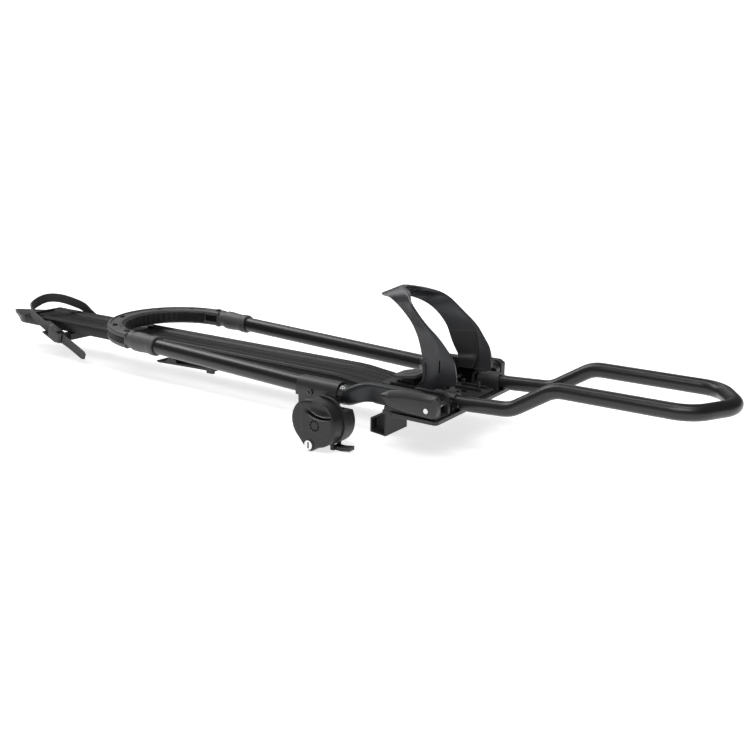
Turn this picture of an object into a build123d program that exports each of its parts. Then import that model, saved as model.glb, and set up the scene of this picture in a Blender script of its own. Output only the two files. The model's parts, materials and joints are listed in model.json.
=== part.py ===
from build123d import *
import os
from math import atan, cos, pi, sin

os.makedirs("parts", exist_ok=True)

# Upright roof carrier for one bicycle, folded flat. All sizes are in millimetres.
# X points to the front, Z points up, and Y = 0 is the middle of the wheel tray.
# The origin is the middle of the front pad's underside, where the pad rests on a crossbar.
# "near" pieces are on the -Y side and "far" pieces on the +Y side.

# Clearances
slide_gap = 0.3
bore_gap = 0.05
overrun = 5.0

# Pad, base plate and its hook
pad_length = 46.0
pad_width = 200.0
pad_thick = 3.0
plate_thick = 6.0
plate_front = 66.0
plate_width = 261.0
plate_corner = 7.0
wing_length = 78.0
waist_width = 252.0
waist_length = 90.0
tongue_length = 128.0
tongue_outer = 92.0
centre_length = 106.0
hook_front = 38.0
hook_thick = 12.0
hook_width = 120.0
hook_drop = 11.0
plate_base = pad_thick
plate_top = plate_base + plate_thick

# Front loop, one bent tube
loop_radius = 10.5
loop_wall = 1.5
loop_spread = 131.0
loop_rear = 30.0
loop_level_end = 72.0
loop_valley = 141.0
loop_valley_rise = 4.1
loop_shoulder = 201.0
loop_rise = 37.8
loop_nose_at = 412.2
loop_nose_run = 37.5
loop_bend = 45.0
loop_corner = 41.0
loop_nose = 39.0
loop_easing = 200.0
socket_front = 60.0
socket_rear = 26.0
socket_wall = 3.0
loop_y = loop_spread / 2
loop_z = plate_top + loop_radius + slide_gap

# Brackets that carry the mast pivots and, on the near side, the quick-release lever
lug_inner_face = 88.0
lug_thick = 6.0
lug_outer_face = 126.0
lug_outer_thick = 12.6
lug_floor = 2.0
lug_front = 62.0
far_lug_front = 35.0
lug_rear = -21.0
lug_height = 29.0
pivot_x = 21.0
pivot_z = 24.6
pivot_radius = 5.0
lever_pin_x = 54.5
lever_pin_z = 24.4
lever_pin_radius = 3.5

# Mast, two tubes joined by a cast hoop
mast_slope = 0.039
mast_front = -95.0
mast_front_z = 13.5
mast_rear = -553.0
mast_y = 110.7
mast_radius = 12.7
mast_wall = 1.5
plug_length = 40.0
arm_inner_face = 98.0
arm_thick = 15.0
hub_radius = 13.0
ring_radius = 14.5
ring_length = 8.0
ring_teeth = 28
hoop_outer = 124.0
hoop_bar = 27.0
hoop_round = 7.0
hoop_groove_width = 15.0
hoop_groove_depth = 2.5
hoop_pad_thick = 3.0
hoop_pad_height = 19.0
hoop_pad_half_angle = 72.0
hoop_rib_count = 64
hoop_rib_depth = 1.5
hoop_rib_width = 1.8
collar_radius = 16.5
collar_length = 66.0
collar_step = 1.2

# Knob unit on the near tube
saddle_front = -104.0
saddle_rear = -177.0
saddle_radius = 16.2
saddle_face = 127.9
saddle_foot = -8.0
saddle_wall = 9.0
saddle_notch = 5.2
saddle_notch_top = 5.0
saddle_bolts_at = (-149.0, -119.0)
saddle_bolt_drop = 2.5
knob_x = -104.4
knob_z = -15.9
drum_radius = 36.0
drum_back = 128.0
drum_front = 152.0
drum_rim = 4.0
drum_wall = 3.0
drum_cut = 1.0
dial_radius = 34.5
dial_front = 175.0
dial_bulge_radius = 33.0
dial_bulge_back = 10.0
dial_bulge_up = 4.0
dial_round = 5.0
dial_shaft_radius = 5.0
ratchet_radius = 24.0
ratchet_teeth = 24
ratchet_thick = 8.0
lock_back = 11.0
lock_drop = 32.0
lock_radius = 6.8
lock_sleeve = 1.2
lock_boss = 10.0
lock_depth = 20.0
lock_proud = 0.8
tab_pin_x = -92.0
tab_pin_z = -54.5
tab_pin_radius = 2.0
tab_reach = 28.5
tab_thick = 6.0
tab_width = 12.0
tab_y = 142.0

# Wheel arch, one strip between two feet
arch_height = 149.6
arch_reach = 170.0
arch_half_width = 58.0
arch_front = 55.0
arch_thick = 4.0
arch_pin_radius = 2.5

# Cover between the feet
cover_length = 92.0
cover_width = 96.0
cover_thick = 4.0
cover_post_height = 16.0
cover_post_radius = 3.0
cover_rib = 3.0

# Tray and its fittings
tray_width = 90.0
tray_top = 17.0
tray_depth = 18.0
tray_wall = 2.5
tray_lip = 14.0
tray_rear = -945.0
tray_bend = -170.0
tray_low = -95.0
tray_front = -44.0
tray_drop = 8.3
tray_bend_radius = 260.0
tray_dish = 3.5
tray_groove = 3.0
bow_length = 96.0
bow_thick = 11.0
bow_drop = 7.0
bow_plug = 30.0
bracket_rear = -101.0
bracket_width = 44.0
bracket_thick = 3.0

# Quick-release lever on the near side, and a claw with its link on both sides
lever_inner_face = 127.0
lever_thick = 12.0
lever_reach = 75.0
lever_nose = 15.0
lever_rise = 21.0
lever_drop = 10.2
lever_round = 2.5
claw_travel = 12.0
claw_inner = 47.0
claw_outer = 111.0
claw_front = -28.0
claw_base = 26.8
claw_depth = 36.0
claw_rear_low = 33.4
claw_rear_high = 12.4
claw_pocket_wall = 3.0
claw_pocket_depth = 13.0
link_face = 83.0
link_thick = 3.0
link_height = 9.0
link_leg = 10.0
link_leg_front = 8.0
link_leg_reach = 20.0

# Rear wheel strap
strap_width = 17.0
strap_thick = 2.6
strap_side = 47.0
strap_root = -830.0
strap_back = 100.2
strap_rise = 47.3
strap_tail = 60.0
strap_tail_drop = 25.0
slider_length = 74.0
slider_width = 52.0
slider_thick = 4.0
slider_neck = 9.0
slider_arm_drop = 12.0
buckle_length = 50.0
buckle_width = 25.0
buckle_wall = 3.0
buckle_pin_radius = 1.5

# Rear crossbar clamp
clamp_x = -506.0
clamp_length = 70.0
clamp_width = 40.0
clamp_drop = 26.0
clamp_plate = 2.0
clamp_lever_length = 140.0
clamp_lever_thick = 4.0
clamp_pin_radius = 3.0

# Fasteners
screw_head = 4.0
bolt_head = 4.6
bolt_shank = 2.6
head_height = 2.6

sides = ((-1, "near"), (1, "far"))


def keep(builder, node):
    """Label a finished piece and write it."""
    builder.part.label = node
    export_step(builder.part, "parts/" + node + ".step")


def block(x_span, y_span, z_span, mode=Mode.ADD):
    """A block between two corners, each axis given as a pair."""
    spans = (x_span, y_span, z_span)
    centre = [(low + high) / 2 for low, high in spans]
    size = [abs(high - low) for low, high in spans]
    with Locations(tuple(centre)):
        Box(*size, mode=mode)


def cross_rod(x, z, y_span, radius, mode=Mode.ADD):
    """A round rod or hole that runs along Y."""
    middle = (y_span[0] + y_span[1]) / 2
    with Locations(Location((x, middle, z), (90, 0, 0))):
        Cylinder(radius, abs(y_span[1] - y_span[0]), mode=mode)


def side_span(side, low, high):
    """A pair of Y values on one side, from distances off the middle."""
    return tuple(sorted((side * low, side * high)))


def side_plane(y):
    """A plane facing +Y in which the sketch's x and y are X and Z."""
    return Plane(origin=(0, y, 0), x_dir=(1, 0, 0), z_dir=(0, -1, 0))


def mast_z(x):
    """Height of the mast tubes' axis at a place along X."""
    return mast_front_z + mast_slope * (mast_front - x)


def along_mast(x, y):
    """A plane square to the mast, facing the rear, at a place on a tube's axis."""
    return Plane(origin=(x, y, mast_z(x)), x_dir=(0, 1, 0), z_dir=(-1, 0, mast_slope))


# Front pad, a rubber sheet with cross grooves under the base plate
with BuildPart() as bar_pad:
    block((-pad_length / 2, pad_length / 2), (-pad_width / 2, pad_width / 2), (0, pad_thick))
    pad_groove = pad_thick / 3
    for step_share in (-0.3, -0.1, 0.1, 0.3):
        groove_x = step_share * pad_length
        block((groove_x - pad_groove, groove_x + pad_groove), (-pad_width, pad_width),
              (-overrun, pad_groove), Mode.SUBTRACT)
keep(bar_pad, "bar_pad")

# Base plate: wings, waist and two rear tongues that hold the tray between them,
# with the fixed hook under its front
tongue_inner = tray_width / 2 + slide_gap
link_slot_front = claw_front - link_leg_front
link_slot_rear = link_slot_front - link_leg - claw_travel
with BuildPart() as base_plate:
    block((plate_front - wing_length, plate_front), (-plate_width / 2, plate_width / 2),
          (plate_base, plate_top))
    fillet(base_plate.edges().filter_by(Axis.Z), plate_corner)
    block((plate_front - waist_length, plate_front - wing_length / 2),
          (-waist_width / 2, waist_width / 2), (plate_base, plate_top))
    block((plate_front - centre_length, plate_front - wing_length),
          (-tongue_inner, tongue_inner), (plate_base, plate_top))
    for side, name in sides:
        block((plate_front - tongue_length, plate_front - wing_length),
              side_span(side, tongue_inner, tongue_outer), (plate_base, plate_top))
        block((link_slot_rear - slide_gap, link_slot_front + slide_gap),
              side_span(side, link_face - slide_gap, link_face + link_thick + slide_gap),
              (plate_base - overrun, plate_top + overrun), Mode.SUBTRACT)
    block((hook_front - hook_thick, hook_front), (-hook_width / 2, hook_width / 2),
          (plate_base - hook_drop - pad_thick, plate_base))
keep(base_plate, "base_plate")

# Front loop: one tube, bent up over the valley and round two corners to a blunt nose
loop_valley_z = loop_z + loop_valley_rise
loop_top_z = loop_valley_z + loop_rise
loop_half = [
    (loop_rear, loop_z),
    (loop_level_end, loop_z),
    (loop_valley, loop_valley_z),
    (loop_shoulder, loop_top_z),
    (loop_nose_at - loop_nose_run, loop_top_z),
]
loop_points = [(x, -loop_y, z) for x, z in loop_half]
loop_points += [(loop_nose_at, 0, loop_top_z)]
loop_points += [(x, loop_y, z) for x, z in reversed(loop_half)]
loop_bends = [loop_easing, loop_bend, loop_bend, loop_corner]
loop_radii = loop_bends + [loop_nose] + loop_bends[::-1]
with BuildPart() as loop_tube:
    with BuildLine() as loop_path:
        FilletPolyline(*loop_points, radius=loop_radii)
    with BuildSketch(Plane(origin=loop_points[0], z_dir=(1, 0, 0))):
        Circle(loop_radius)
        Circle(loop_radius - loop_wall, mode=Mode.SUBTRACT)
    sweep()
keep(loop_tube, "loop_tube")

# Sockets that hold the loop's rear ends down on the plate
socket_radius = loop_radius + socket_wall
with BuildPart() as loop_sockets:
    for side, name in sides:
        with BuildSketch(Plane(origin=(socket_rear, side * loop_y, 0), x_dir=(0, 1, 0),
                               z_dir=(1, 0, 0))):
            with Locations((0, loop_z)):
                Circle(socket_radius)
            with Locations((0, (plate_top + loop_z) / 2)):
                Rectangle(socket_radius * 2, loop_z - plate_top)
            with Locations((0, loop_z)):
                Circle(loop_radius + bore_gap, mode=Mode.SUBTRACT)
            with Locations((0, plate_top - socket_radius)):
                Rectangle(socket_radius * 4, socket_radius * 2, mode=Mode.SUBTRACT)
        extrude(amount=socket_front - socket_rear)
        block((socket_rear, loop_rear), side_span(side, loop_y - socket_radius,
              loop_y + socket_radius), (plate_top, loop_z))
        block((socket_rear, loop_rear - bore_gap), side_span(side, loop_y - loop_radius,
              loop_y + loop_radius), (plate_top, loop_z + loop_radius))
keep(loop_sockets, "loop_sockets")

# Side brackets: two upright lugs on a floor, drilled for the mast pivot. The near one runs
# further forward and is drilled for the lever pin too
lug_step = pivot_x - hub_radius
for side, name in sides:
    lug_end = lug_front if side < 0 else far_lug_front
    with BuildPart() as side_bracket:
        with BuildSketch(side_plane(0)):
            with BuildLine():
                Polyline(
                    (lug_rear, plate_top),
                    (lug_end, plate_top),
                    (lug_end, plate_top + lug_height * 0.85),
                    (lug_end - lug_height * 0.25, plate_top + lug_height),
                    (lug_step, plate_top + lug_height),
                    (lug_step - lug_height * 0.3, plate_top + lug_height * 0.3),
                    (lug_rear, plate_top + lug_height * 0.2),
                    close=True,
                )
            make_face()
        extrude(amount=-side * lug_outer_face)
        block((-plate_width, plate_width), side_span(side, -overrun, lug_inner_face),
              (0, plate_width), Mode.SUBTRACT)
        block((-plate_width, plate_width),
              side_span(side, lug_inner_face + lug_thick, lug_outer_face - lug_outer_thick),
              (plate_top + lug_floor, plate_width), Mode.SUBTRACT)
        through = side_span(side, 0, plate_width)
        cross_rod(pivot_x, pivot_z, through, pivot_radius + bore_gap, Mode.SUBTRACT)
        if side < 0:
            cross_rod(lever_pin_x, lever_pin_z, through, lever_pin_radius + bore_gap,
                      Mode.SUBTRACT)
    keep(side_bracket, "side_bracket_" + name)

    # Pivot pin through both lugs and the mast arm. The far one runs on inward, to guide the
    # far claw link's slotted eye
    pivot_end = lug_inner_face if side < 0 else link_face - head_height
    with BuildPart() as pivot_pin:
        cross_rod(pivot_x, pivot_z, side_span(side, pivot_end, lug_outer_face), pivot_radius)
        cross_rod(pivot_x, pivot_z, side_span(side, lug_inner_face - head_height / 2,
                  lug_inner_face), pivot_radius * 1.5)
        if side > 0:
            cross_rod(pivot_x, pivot_z, side_span(side, pivot_end, link_face - slide_gap),
                      pivot_radius * 1.5)
    keep(pivot_pin, "pivot_pin_" + name)

    # Mast arm: a flat lever with a round hub, ending in a plug inside the tube
    with BuildPart() as mast_arm:
        with BuildSketch(side_plane(side * arm_inner_face)):
            with BuildLine():
                arm_tail = mast_front + slide_gap * 2
                Polyline(
                    (pivot_x, pivot_z + hub_radius),
                    (pivot_x - hub_radius * 6.0, pivot_z + hub_radius),
                    (pivot_x - hub_radius * 7.3, pivot_z + hub_radius * 0.84),
                    (arm_tail + hub_radius * 0.4, mast_z(arm_tail) + ring_radius * 1.05),
                    (arm_tail, mast_z(arm_tail) + ring_radius * 0.6),
                    (arm_tail, mast_z(arm_tail) - ring_radius * 1.1),
                    (pivot_x - hub_radius * 6.4, pivot_z - hub_radius * 1.12),
                    (pivot_x - hub_radius * 3.6, pivot_z - hub_radius),
                    (pivot_x, pivot_z - hub_radius),
                    close=True,
                )
            make_face()
            with Locations((pivot_x, pivot_z)):
                Circle(hub_radius)
        extrude(amount=-side * arm_thick)
        cross_rod(pivot_x, pivot_z, through, pivot_radius + bore_gap, Mode.SUBTRACT)
        with BuildSketch(along_mast(mast_front, side * mast_y)):
            Circle(mast_radius - mast_wall)
        extrude(amount=plug_length)
        with BuildSketch(along_mast(mast_front, side * mast_y)):
            Circle(mast_radius - mast_wall)
        extrude(amount=-hub_radius)
    keep(mast_arm, "mast_arm_" + name)

    # Mast tube
    tube_run = (mast_front - mast_rear) / cos(atan(mast_slope))
    with BuildPart() as mast_tube:
        with BuildSketch(along_mast(mast_front, side * mast_y)):
            Circle(mast_radius)
            Circle(mast_radius - mast_wall, mode=Mode.SUBTRACT)
        extrude(amount=tube_run)
    keep(mast_tube, "mast_tube_" + name)

    # Stepped collar over the joint between tube and hoop
    with BuildPart() as collar:
        with BuildSketch(along_mast(mast_rear + collar_length, side * mast_y)):
            Circle(collar_radius)
        extrude(amount=collar_length * 0.2)
        with BuildSketch(along_mast(mast_rear + collar_length, side * mast_y)):
            Circle(collar_radius - collar_step)
        extrude(amount=collar_length)
        with BuildSketch(along_mast(mast_rear + collar_length * 0.72, side * mast_y)):
            Circle(collar_radius)
        extrude(amount=collar_length * 0.5)
        with BuildSketch(along_mast(mast_rear + collar_length * 2, side * mast_y)):
            Circle(mast_radius + bore_gap)
        extrude(amount=collar_length * 3, mode=Mode.SUBTRACT)
    keep(collar, "collar_" + name)

# Serrated rings that clamp the tube fronts, one a side
with BuildPart() as spline_rings:
    for side, name in sides:
        ring_plane = along_mast(mast_front, side * mast_y)
        with BuildSketch(ring_plane):
            Circle(ring_radius - ring_length / 10)
            with PolarLocations(ring_radius - ring_length / 10, ring_teeth):
                Rectangle(ring_length / 5, ring_length / 6)
            Circle(mast_radius + bore_gap, mode=Mode.SUBTRACT)
        extrude(amount=ring_length)
keep(spline_rings, "spline_rings")

# Hoop: a cast U that joins the tubes, grooved on top, with plugs into the tubes
hoop_mid = hoop_outer - hoop_bar / 2
hoop_frame = Plane(origin=(mast_rear, 0, mast_z(mast_rear)), x_dir=(1, 0, -mast_slope),
                   z_dir=(mast_slope, 0, 1))
with BuildPart() as hoop:
    with BuildLine(hoop_frame):
        CenterArc((0, 0), hoop_mid, 90, 180)
    with BuildSketch(Plane(origin=hoop_frame.from_local_coords(Vector(0, hoop_mid, 0)),
                           x_dir=(0, 1, 0), z_dir=(-1, 0, mast_slope))):
        RectangleRounded(hoop_bar, hoop_bar, hoop_round)
    sweep()
    with BuildSketch(hoop_frame.offset(hoop_bar / 2 - hoop_groove_depth)):
        with BuildLine():
            CenterArc((0, 0), hoop_mid + hoop_groove_width / 2, 110, 140)
            CenterArc((0, 0), hoop_mid - hoop_groove_width / 2, 110, 140)
            for groove_end in (110, 250):
                PolarLine(Vector(1, 0).rotate(Axis.Z, groove_end)
                          * (hoop_mid - hoop_groove_width / 2), hoop_groove_width, groove_end)
        make_face()
    extrude(amount=overrun, mode=Mode.SUBTRACT)
    for side, name in sides:
        with BuildSketch(along_mast(mast_rear, side * mast_y)):
            Circle(mast_radius - mast_wall)
        extrude(amount=-plug_length)
        with Locations(hoop_frame):
            with Locations((-bolt_head * 2, side * hoop_mid, 0)):
                Cylinder(bolt_shank + bore_gap, hoop_bar * 2, mode=Mode.SUBTRACT)
keep(hoop, "hoop")

# Rubber pad inside the hoop, ribbed across
pad_outer = hoop_outer - hoop_bar
pad_inner = pad_outer - hoop_pad_thick
with BuildPart() as hoop_pad:
    with BuildSketch(hoop_frame.offset(-hoop_pad_height / 2)):
        with BuildLine():
            pad_start = 180 - hoop_pad_half_angle
            CenterArc((0, 0), pad_outer, pad_start, hoop_pad_half_angle * 2)
            CenterArc((0, 0), pad_inner, pad_start, hoop_pad_half_angle * 2)
            for pad_end in (pad_start, 180 + hoop_pad_half_angle):
                PolarLine(Vector(1, 0).rotate(Axis.Z, pad_end) * pad_inner, hoop_pad_thick,
                          pad_end)
        make_face()
        with PolarLocations(pad_inner - hoop_rib_depth / 2, hoop_rib_count, pad_start + 1,
                            hoop_pad_half_angle * 2 - 2):
            Rectangle(hoop_rib_depth * 2, hoop_rib_width)
    extrude(amount=hoop_pad_height)
keep(hoop_pad, "hoop_pad")

# Small screws on top of the hoop and two through bolts at its arms
with BuildPart() as hoop_screws:
    for angle_share in (-0.62, -0.28, 0.24, 0.6):
        angle = 180 + 90 * angle_share
        with Locations(hoop_frame):
            with Locations((hoop_mid * cos(angle * pi / 180), hoop_mid * sin(angle * pi / 180),
                            hoop_bar / 2 - hoop_groove_depth + head_height / 2)):
                Cylinder(screw_head, head_height)
keep(hoop_screws, "hoop_screws")

with BuildPart() as hoop_bolts:
    for side, name in sides:
        with Locations(hoop_frame):
            with Locations((-bolt_head * 2, side * hoop_mid, 0)):
                Cylinder(bolt_shank, hoop_bar + head_height * 2)
            for end in (-1, 1):
                with Locations((-bolt_head * 2, side * hoop_mid,
                                end * (hoop_bar + head_height) / 2)):
                    Cylinder(bolt_head, head_height)
keep(hoop_bolts, "hoop_bolts")

# Saddle that clamps the knob unit to the near tube
with BuildPart() as knob_saddle:
    saddle_run = saddle_front - saddle_rear
    with BuildSketch(Plane(origin=(saddle_rear, -mast_y, mast_z((saddle_rear + saddle_front) / 2)),
                           x_dir=(0, 1, 0), z_dir=(1, 0, 0))):
        Circle(saddle_radius)
        saddle_mid_z = mast_z((saddle_rear + saddle_front) / 2)
        with Locations((-(saddle_face - mast_y) + saddle_wall / 2,
                        (saddle_foot - saddle_mid_z) / 2)):
            Rectangle(saddle_wall, saddle_mid_z - saddle_foot)
        with Locations((-(saddle_face - mast_y) / 2, -saddle_radius / 2)):
            Rectangle(saddle_face - mast_y, saddle_radius)
    extrude(amount=saddle_run)
    block((saddle_rear, saddle_rear + saddle_notch), (-saddle_face, saddle_wall - saddle_face),
          (saddle_foot, saddle_notch_top), Mode.SUBTRACT)
    with BuildSketch(along_mast(saddle_front + overrun, -mast_y)):
        Circle(mast_radius + bore_gap)
    extrude(amount=saddle_run + overrun * 2, mode=Mode.SUBTRACT)
keep(knob_saddle, "knob_saddle")

with BuildPart() as saddle_bolts:
    for bolt_x in saddle_bolts_at:
        bolt_z = mast_z(bolt_x) - saddle_bolt_drop
        with BuildSketch(side_plane(-saddle_face)):
            with Locations((bolt_x, bolt_z)):
                Circle(bolt_head)
                RegularPolygon(bolt_head / 2, 6, mode=Mode.SUBTRACT)
        extrude(amount=head_height)
        with BuildSketch(side_plane(-saddle_face)):
            with Locations((bolt_x, bolt_z)):
                Circle(bolt_head)
        extrude(amount=head_height / 3)
keep(saddle_bolts, "saddle_bolts")

# Drum housing: a full rim at the front, a body cut off below the saddle, and a lock lug
lock_x = knob_x - lock_back
lock_z = knob_z - lock_drop
with BuildPart() as drum_housing:
    with BuildSketch(side_plane(-drum_back)):
        with Locations((knob_x, knob_z)):
            Circle(drum_radius)
        with Locations((lock_x, lock_z)):
            Circle(lock_boss)
        with Locations((knob_x, drum_cut + drum_radius)):
            Rectangle(drum_radius * 3, drum_radius * 2, mode=Mode.SUBTRACT)
    extrude(amount=drum_front - drum_back)
    with BuildSketch(side_plane(-drum_front)):
        with Locations((knob_x, knob_z)):
            Circle(drum_radius)
    extrude(amount=-drum_rim)
    cavity = (-drum_front - overrun, -drum_back - drum_wall)
    cross_rod(knob_x, knob_z, cavity, ratchet_radius + drum_wall, Mode.SUBTRACT)
    cross_rod(knob_x, knob_z, (-drum_front, -drum_back), dial_shaft_radius + bore_gap,
              Mode.SUBTRACT)
    for ear in (-1, 1):
        ear_inner = tab_width / 2 + slide_gap
        ear_y = sorted((-tab_y + ear * ear_inner, -tab_y + ear * (ear_inner + drum_wall)))
        block((tab_pin_x - tab_thick / 2, tab_pin_x + tab_thick / 2), tuple(ear_y),
              (tab_pin_z - tab_thick / 2, knob_z - drum_radius * 0.85))
    cross_rod(tab_pin_x, tab_pin_z, (-drum_front, -drum_back), tab_pin_radius + bore_gap,
              Mode.SUBTRACT)
keep(drum_housing, "drum_housing")

# Ratchet wheel inside the drum, on the knob's shaft
ratchet_back = drum_back + drum_wall + ratchet_thick / 2
with BuildPart() as ratchet_wheel:
    with BuildSketch(side_plane(-ratchet_back)):
        with Locations((knob_x, knob_z)):
            Circle(ratchet_radius * 0.86)
            with PolarLocations(ratchet_radius * 0.86, ratchet_teeth):
                RegularPolygon(ratchet_radius * 0.13, 3)
            Circle(dial_shaft_radius, mode=Mode.SUBTRACT)
    extrude(amount=ratchet_thick)
keep(ratchet_wheel, "ratchet_wheel")

# Shaft of the knob, from the housing's back wall into the dial
dial_back = drum_front + slide_gap
with BuildPart() as knob_shaft:
    cross_rod(knob_x, knob_z, (-dial_back - drum_wall, -drum_back), dial_shaft_radius)
keep(knob_shaft, "knob_shaft")

# Dial: a disc with a rearward bulge, a lock boss, a dished thumb rest and a raised rib
dial_depth = dial_front - dial_back
with BuildPart() as knob_dial:
    with BuildSketch(side_plane(-dial_back)):
        with Locations((knob_x, knob_z)):
            Circle(dial_radius)
        with Locations((knob_x - dial_bulge_back, knob_z + dial_bulge_up)):
            Circle(dial_bulge_radius)
    extrude(amount=dial_depth)
    fillet(knob_dial.faces().sort_by(Axis.Y)[0].edges(), dial_round)
    with BuildSketch(side_plane(-dial_back)):
        with Locations((lock_x, lock_z)):
            Circle(lock_boss)
    extrude(amount=dial_depth - lock_proud)
    with Locations((knob_x + dial_radius * 0.15, -dial_front - dial_radius * 1.02,
                    knob_z + dial_radius * 0.65)):
        Sphere(dial_radius * 1.1, mode=Mode.SUBTRACT)
    cross_rod(lock_x, lock_z, (-dial_front - overrun, -dial_front + lock_depth), lock_radius
              + lock_sleeve, Mode.SUBTRACT)
    cross_rod(knob_x, knob_z, (-dial_back - drum_wall, -dial_back + overrun),
              dial_shaft_radius, Mode.SUBTRACT)
keep(knob_dial, "knob_dial")

# Lock: a sleeve in the dial's boss and a plug that turns in it
with BuildPart() as lock_barrel:
    lock_span = (-dial_front + lock_proud, -dial_front + lock_depth)
    cross_rod(lock_x, lock_z, lock_span, lock_radius + lock_sleeve)
    cross_rod(lock_x, lock_z, (-dial_front - overrun, -dial_front + lock_depth - lock_sleeve),
              lock_radius + bore_gap, Mode.SUBTRACT)
keep(lock_barrel, "lock_barrel")

with BuildPart() as lock_plug:
    cross_rod(lock_x, lock_z, (-dial_front - lock_proud,
                               -dial_front + lock_depth - lock_sleeve - slide_gap), lock_radius)
    block((lock_x - lock_sleeve / 2, lock_x + lock_sleeve / 2),
          (-dial_front - overrun, -dial_front + lock_depth / 2),
          (lock_z - lock_radius * 0.6, lock_z + lock_radius * 0.6), Mode.SUBTRACT)
keep(lock_plug, "lock_plug")

# Release tab under the drum and its pin
with BuildPart() as release_tab:
    with BuildSketch(side_plane(-tab_y + tab_width / 2)):
        with Locations((tab_pin_x, tab_pin_z)):
            Circle(tab_thick / 2)
        with BuildLine():
            Polyline(
                (tab_pin_x, tab_pin_z - tab_thick / 2),
                (tab_pin_x + tab_reach * 0.5, tab_pin_z - tab_thick * 0.5),
                (tab_pin_x + tab_reach, tab_pin_z - tab_thick * 0.1),
                (tab_pin_x + tab_reach, tab_pin_z + tab_thick * 0.9),
                (tab_pin_x + tab_reach * 0.5, tab_pin_z + tab_thick * 0.5),
                (tab_pin_x, tab_pin_z + tab_thick / 2),
                close=True,
            )
        make_face()
    extrude(amount=tab_width)
    cross_rod(tab_pin_x, tab_pin_z, (-drum_front, -drum_back), tab_pin_radius + bore_gap,
              Mode.SUBTRACT)
keep(release_tab, "release_tab")

with BuildPart() as release_pin:
    pin_half = tab_width / 2 + slide_gap + drum_wall
    cross_rod(tab_pin_x, tab_pin_z, (-tab_y - pin_half, -tab_y + pin_half), tab_pin_radius)
keep(release_pin, "release_pin")

# Wheel arch: one strip from foot to foot, narrow at the top, leaning to the rear.
# Each station gives the rear edge, the fold and the front edge as shares of reach, half
# width and height. The fold turns the strip's front edge inward below the shoulder.
arch_station_shares = [
    ((0.47, 1.0, 0.0), (0.28, 1.0, 0.0), (0.20, 0.94, 0.0)),
    ((0.45, 1.0, 0.08), (0.27, 1.0, 0.08), (0.20, 0.94, 0.08)),
    ((0.37, 0.99, 0.165), (0.25, 1.0, 0.165), (0.19, 0.94, 0.165)),
    ((0.34, 0.985, 0.19), (0.22, 1.0, 0.175), (0.02, 0.92, 0.172)),
    ((0.33, 0.98, 0.23), (0.20, 1.0, 0.22), (0.02, 0.92, 0.215)),
    ((0.345, 0.91, 0.30), (0.195, 1.0, 0.29), (0.03, 0.92, 0.28)),
    ((0.37, 0.835, 0.37), (0.19, 1.0, 0.38), (0.045, 0.92, 0.40)),
    ((0.395, 0.775, 0.425), (0.19, 1.0, 0.45), (0.07, 0.92, 0.455)),
    ((0.425, 0.735, 0.525), (0.20, 1.0, 0.53), (0.13, 0.93, 0.53)),
    ((0.455, 0.735, 0.61), (0.225, 0.99, 0.615), (0.188, 0.975, 0.62)),
    ((0.52, 0.67, 0.705), (0.35, 0.975, 0.74), (0.33, 0.965, 0.745)),
    ((0.60, 0.62, 0.785), (0.485, 0.89, 0.875), (0.465, 0.895, 0.88)),
    ((0.70, 0.52, 0.855), (0.555, 0.68, 0.945), (0.535, 0.67, 0.945)),
    ((0.86, 0.31, 0.915), (0.66, 0.35, 0.995), (0.615, 0.34, 0.985)),
    ((1.0, 0.0, 0.905), (0.78, 0.0, 1.02), (0.745, 0.0, 1.0)),
]


def arch_point(shares, side):
    """A place on the arch's outer face on one side."""
    back, across, up = shares
    return Vector(arch_front - back * arch_reach, side * across * arch_half_width,
                  plate_top + up * arch_height)


def arch_stations():
    """All stations from the near foot over the top to the far foot."""
    near = [[arch_point(place, -1) for place in row] for row in arch_station_shares]
    far = [[arch_point(place, 1) for place in row] for row in arch_station_shares[:-1]]
    return near + far[::-1]


arch_rows = arch_stations()
with BuildPart() as wheel_arch:
    for index, (rear, fold, front) in enumerate(arch_rows):
        before = arch_rows[max(index - 1, 0)]
        after = arch_rows[min(index + 1, len(arch_rows) - 1)]
        along = (after[0] + after[2] - before[0] - before[2]).normalized()
        if index in (0, len(arch_rows) - 1):
            along = Vector(0, 0, 1 if index == 0 else -1)
        across = (front - rear).normalized()
        square = (along - across * along.dot(across)).normalized()
        station = Plane(origin=rear, x_dir=across, z_dir=square)
        fold_at = station.to_local_coords(fold)
        front_at = station.to_local_coords(front)
        with BuildSketch(station):
            with BuildLine():
                Polyline(
                    (0, 0),
                    (fold_at.X, fold_at.Y),
                    (front_at.X, 0),
                    (front_at.X - arch_thick / 4, arch_thick),
                    (fold_at.X, fold_at.Y + arch_thick),
                    (arch_thick / 4, arch_thick),
                    close=True,
                )
            make_face()
    loft(ruled=True)
keep(wheel_arch, "wheel_arch")

# Arch pins: cross pins that hold the arch's legs to the sockets
with BuildPart() as arch_pins:
    for side, name in sides:
        cross_rod(arch_front - arch_reach * 0.33, plate_top + arch_height * 0.09,
                  side_span(side, arch_half_width * 0.8, arch_half_width - arch_thick
                            - slide_gap), arch_pin_radius)
keep(arch_pins, "arch_pins")

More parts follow.
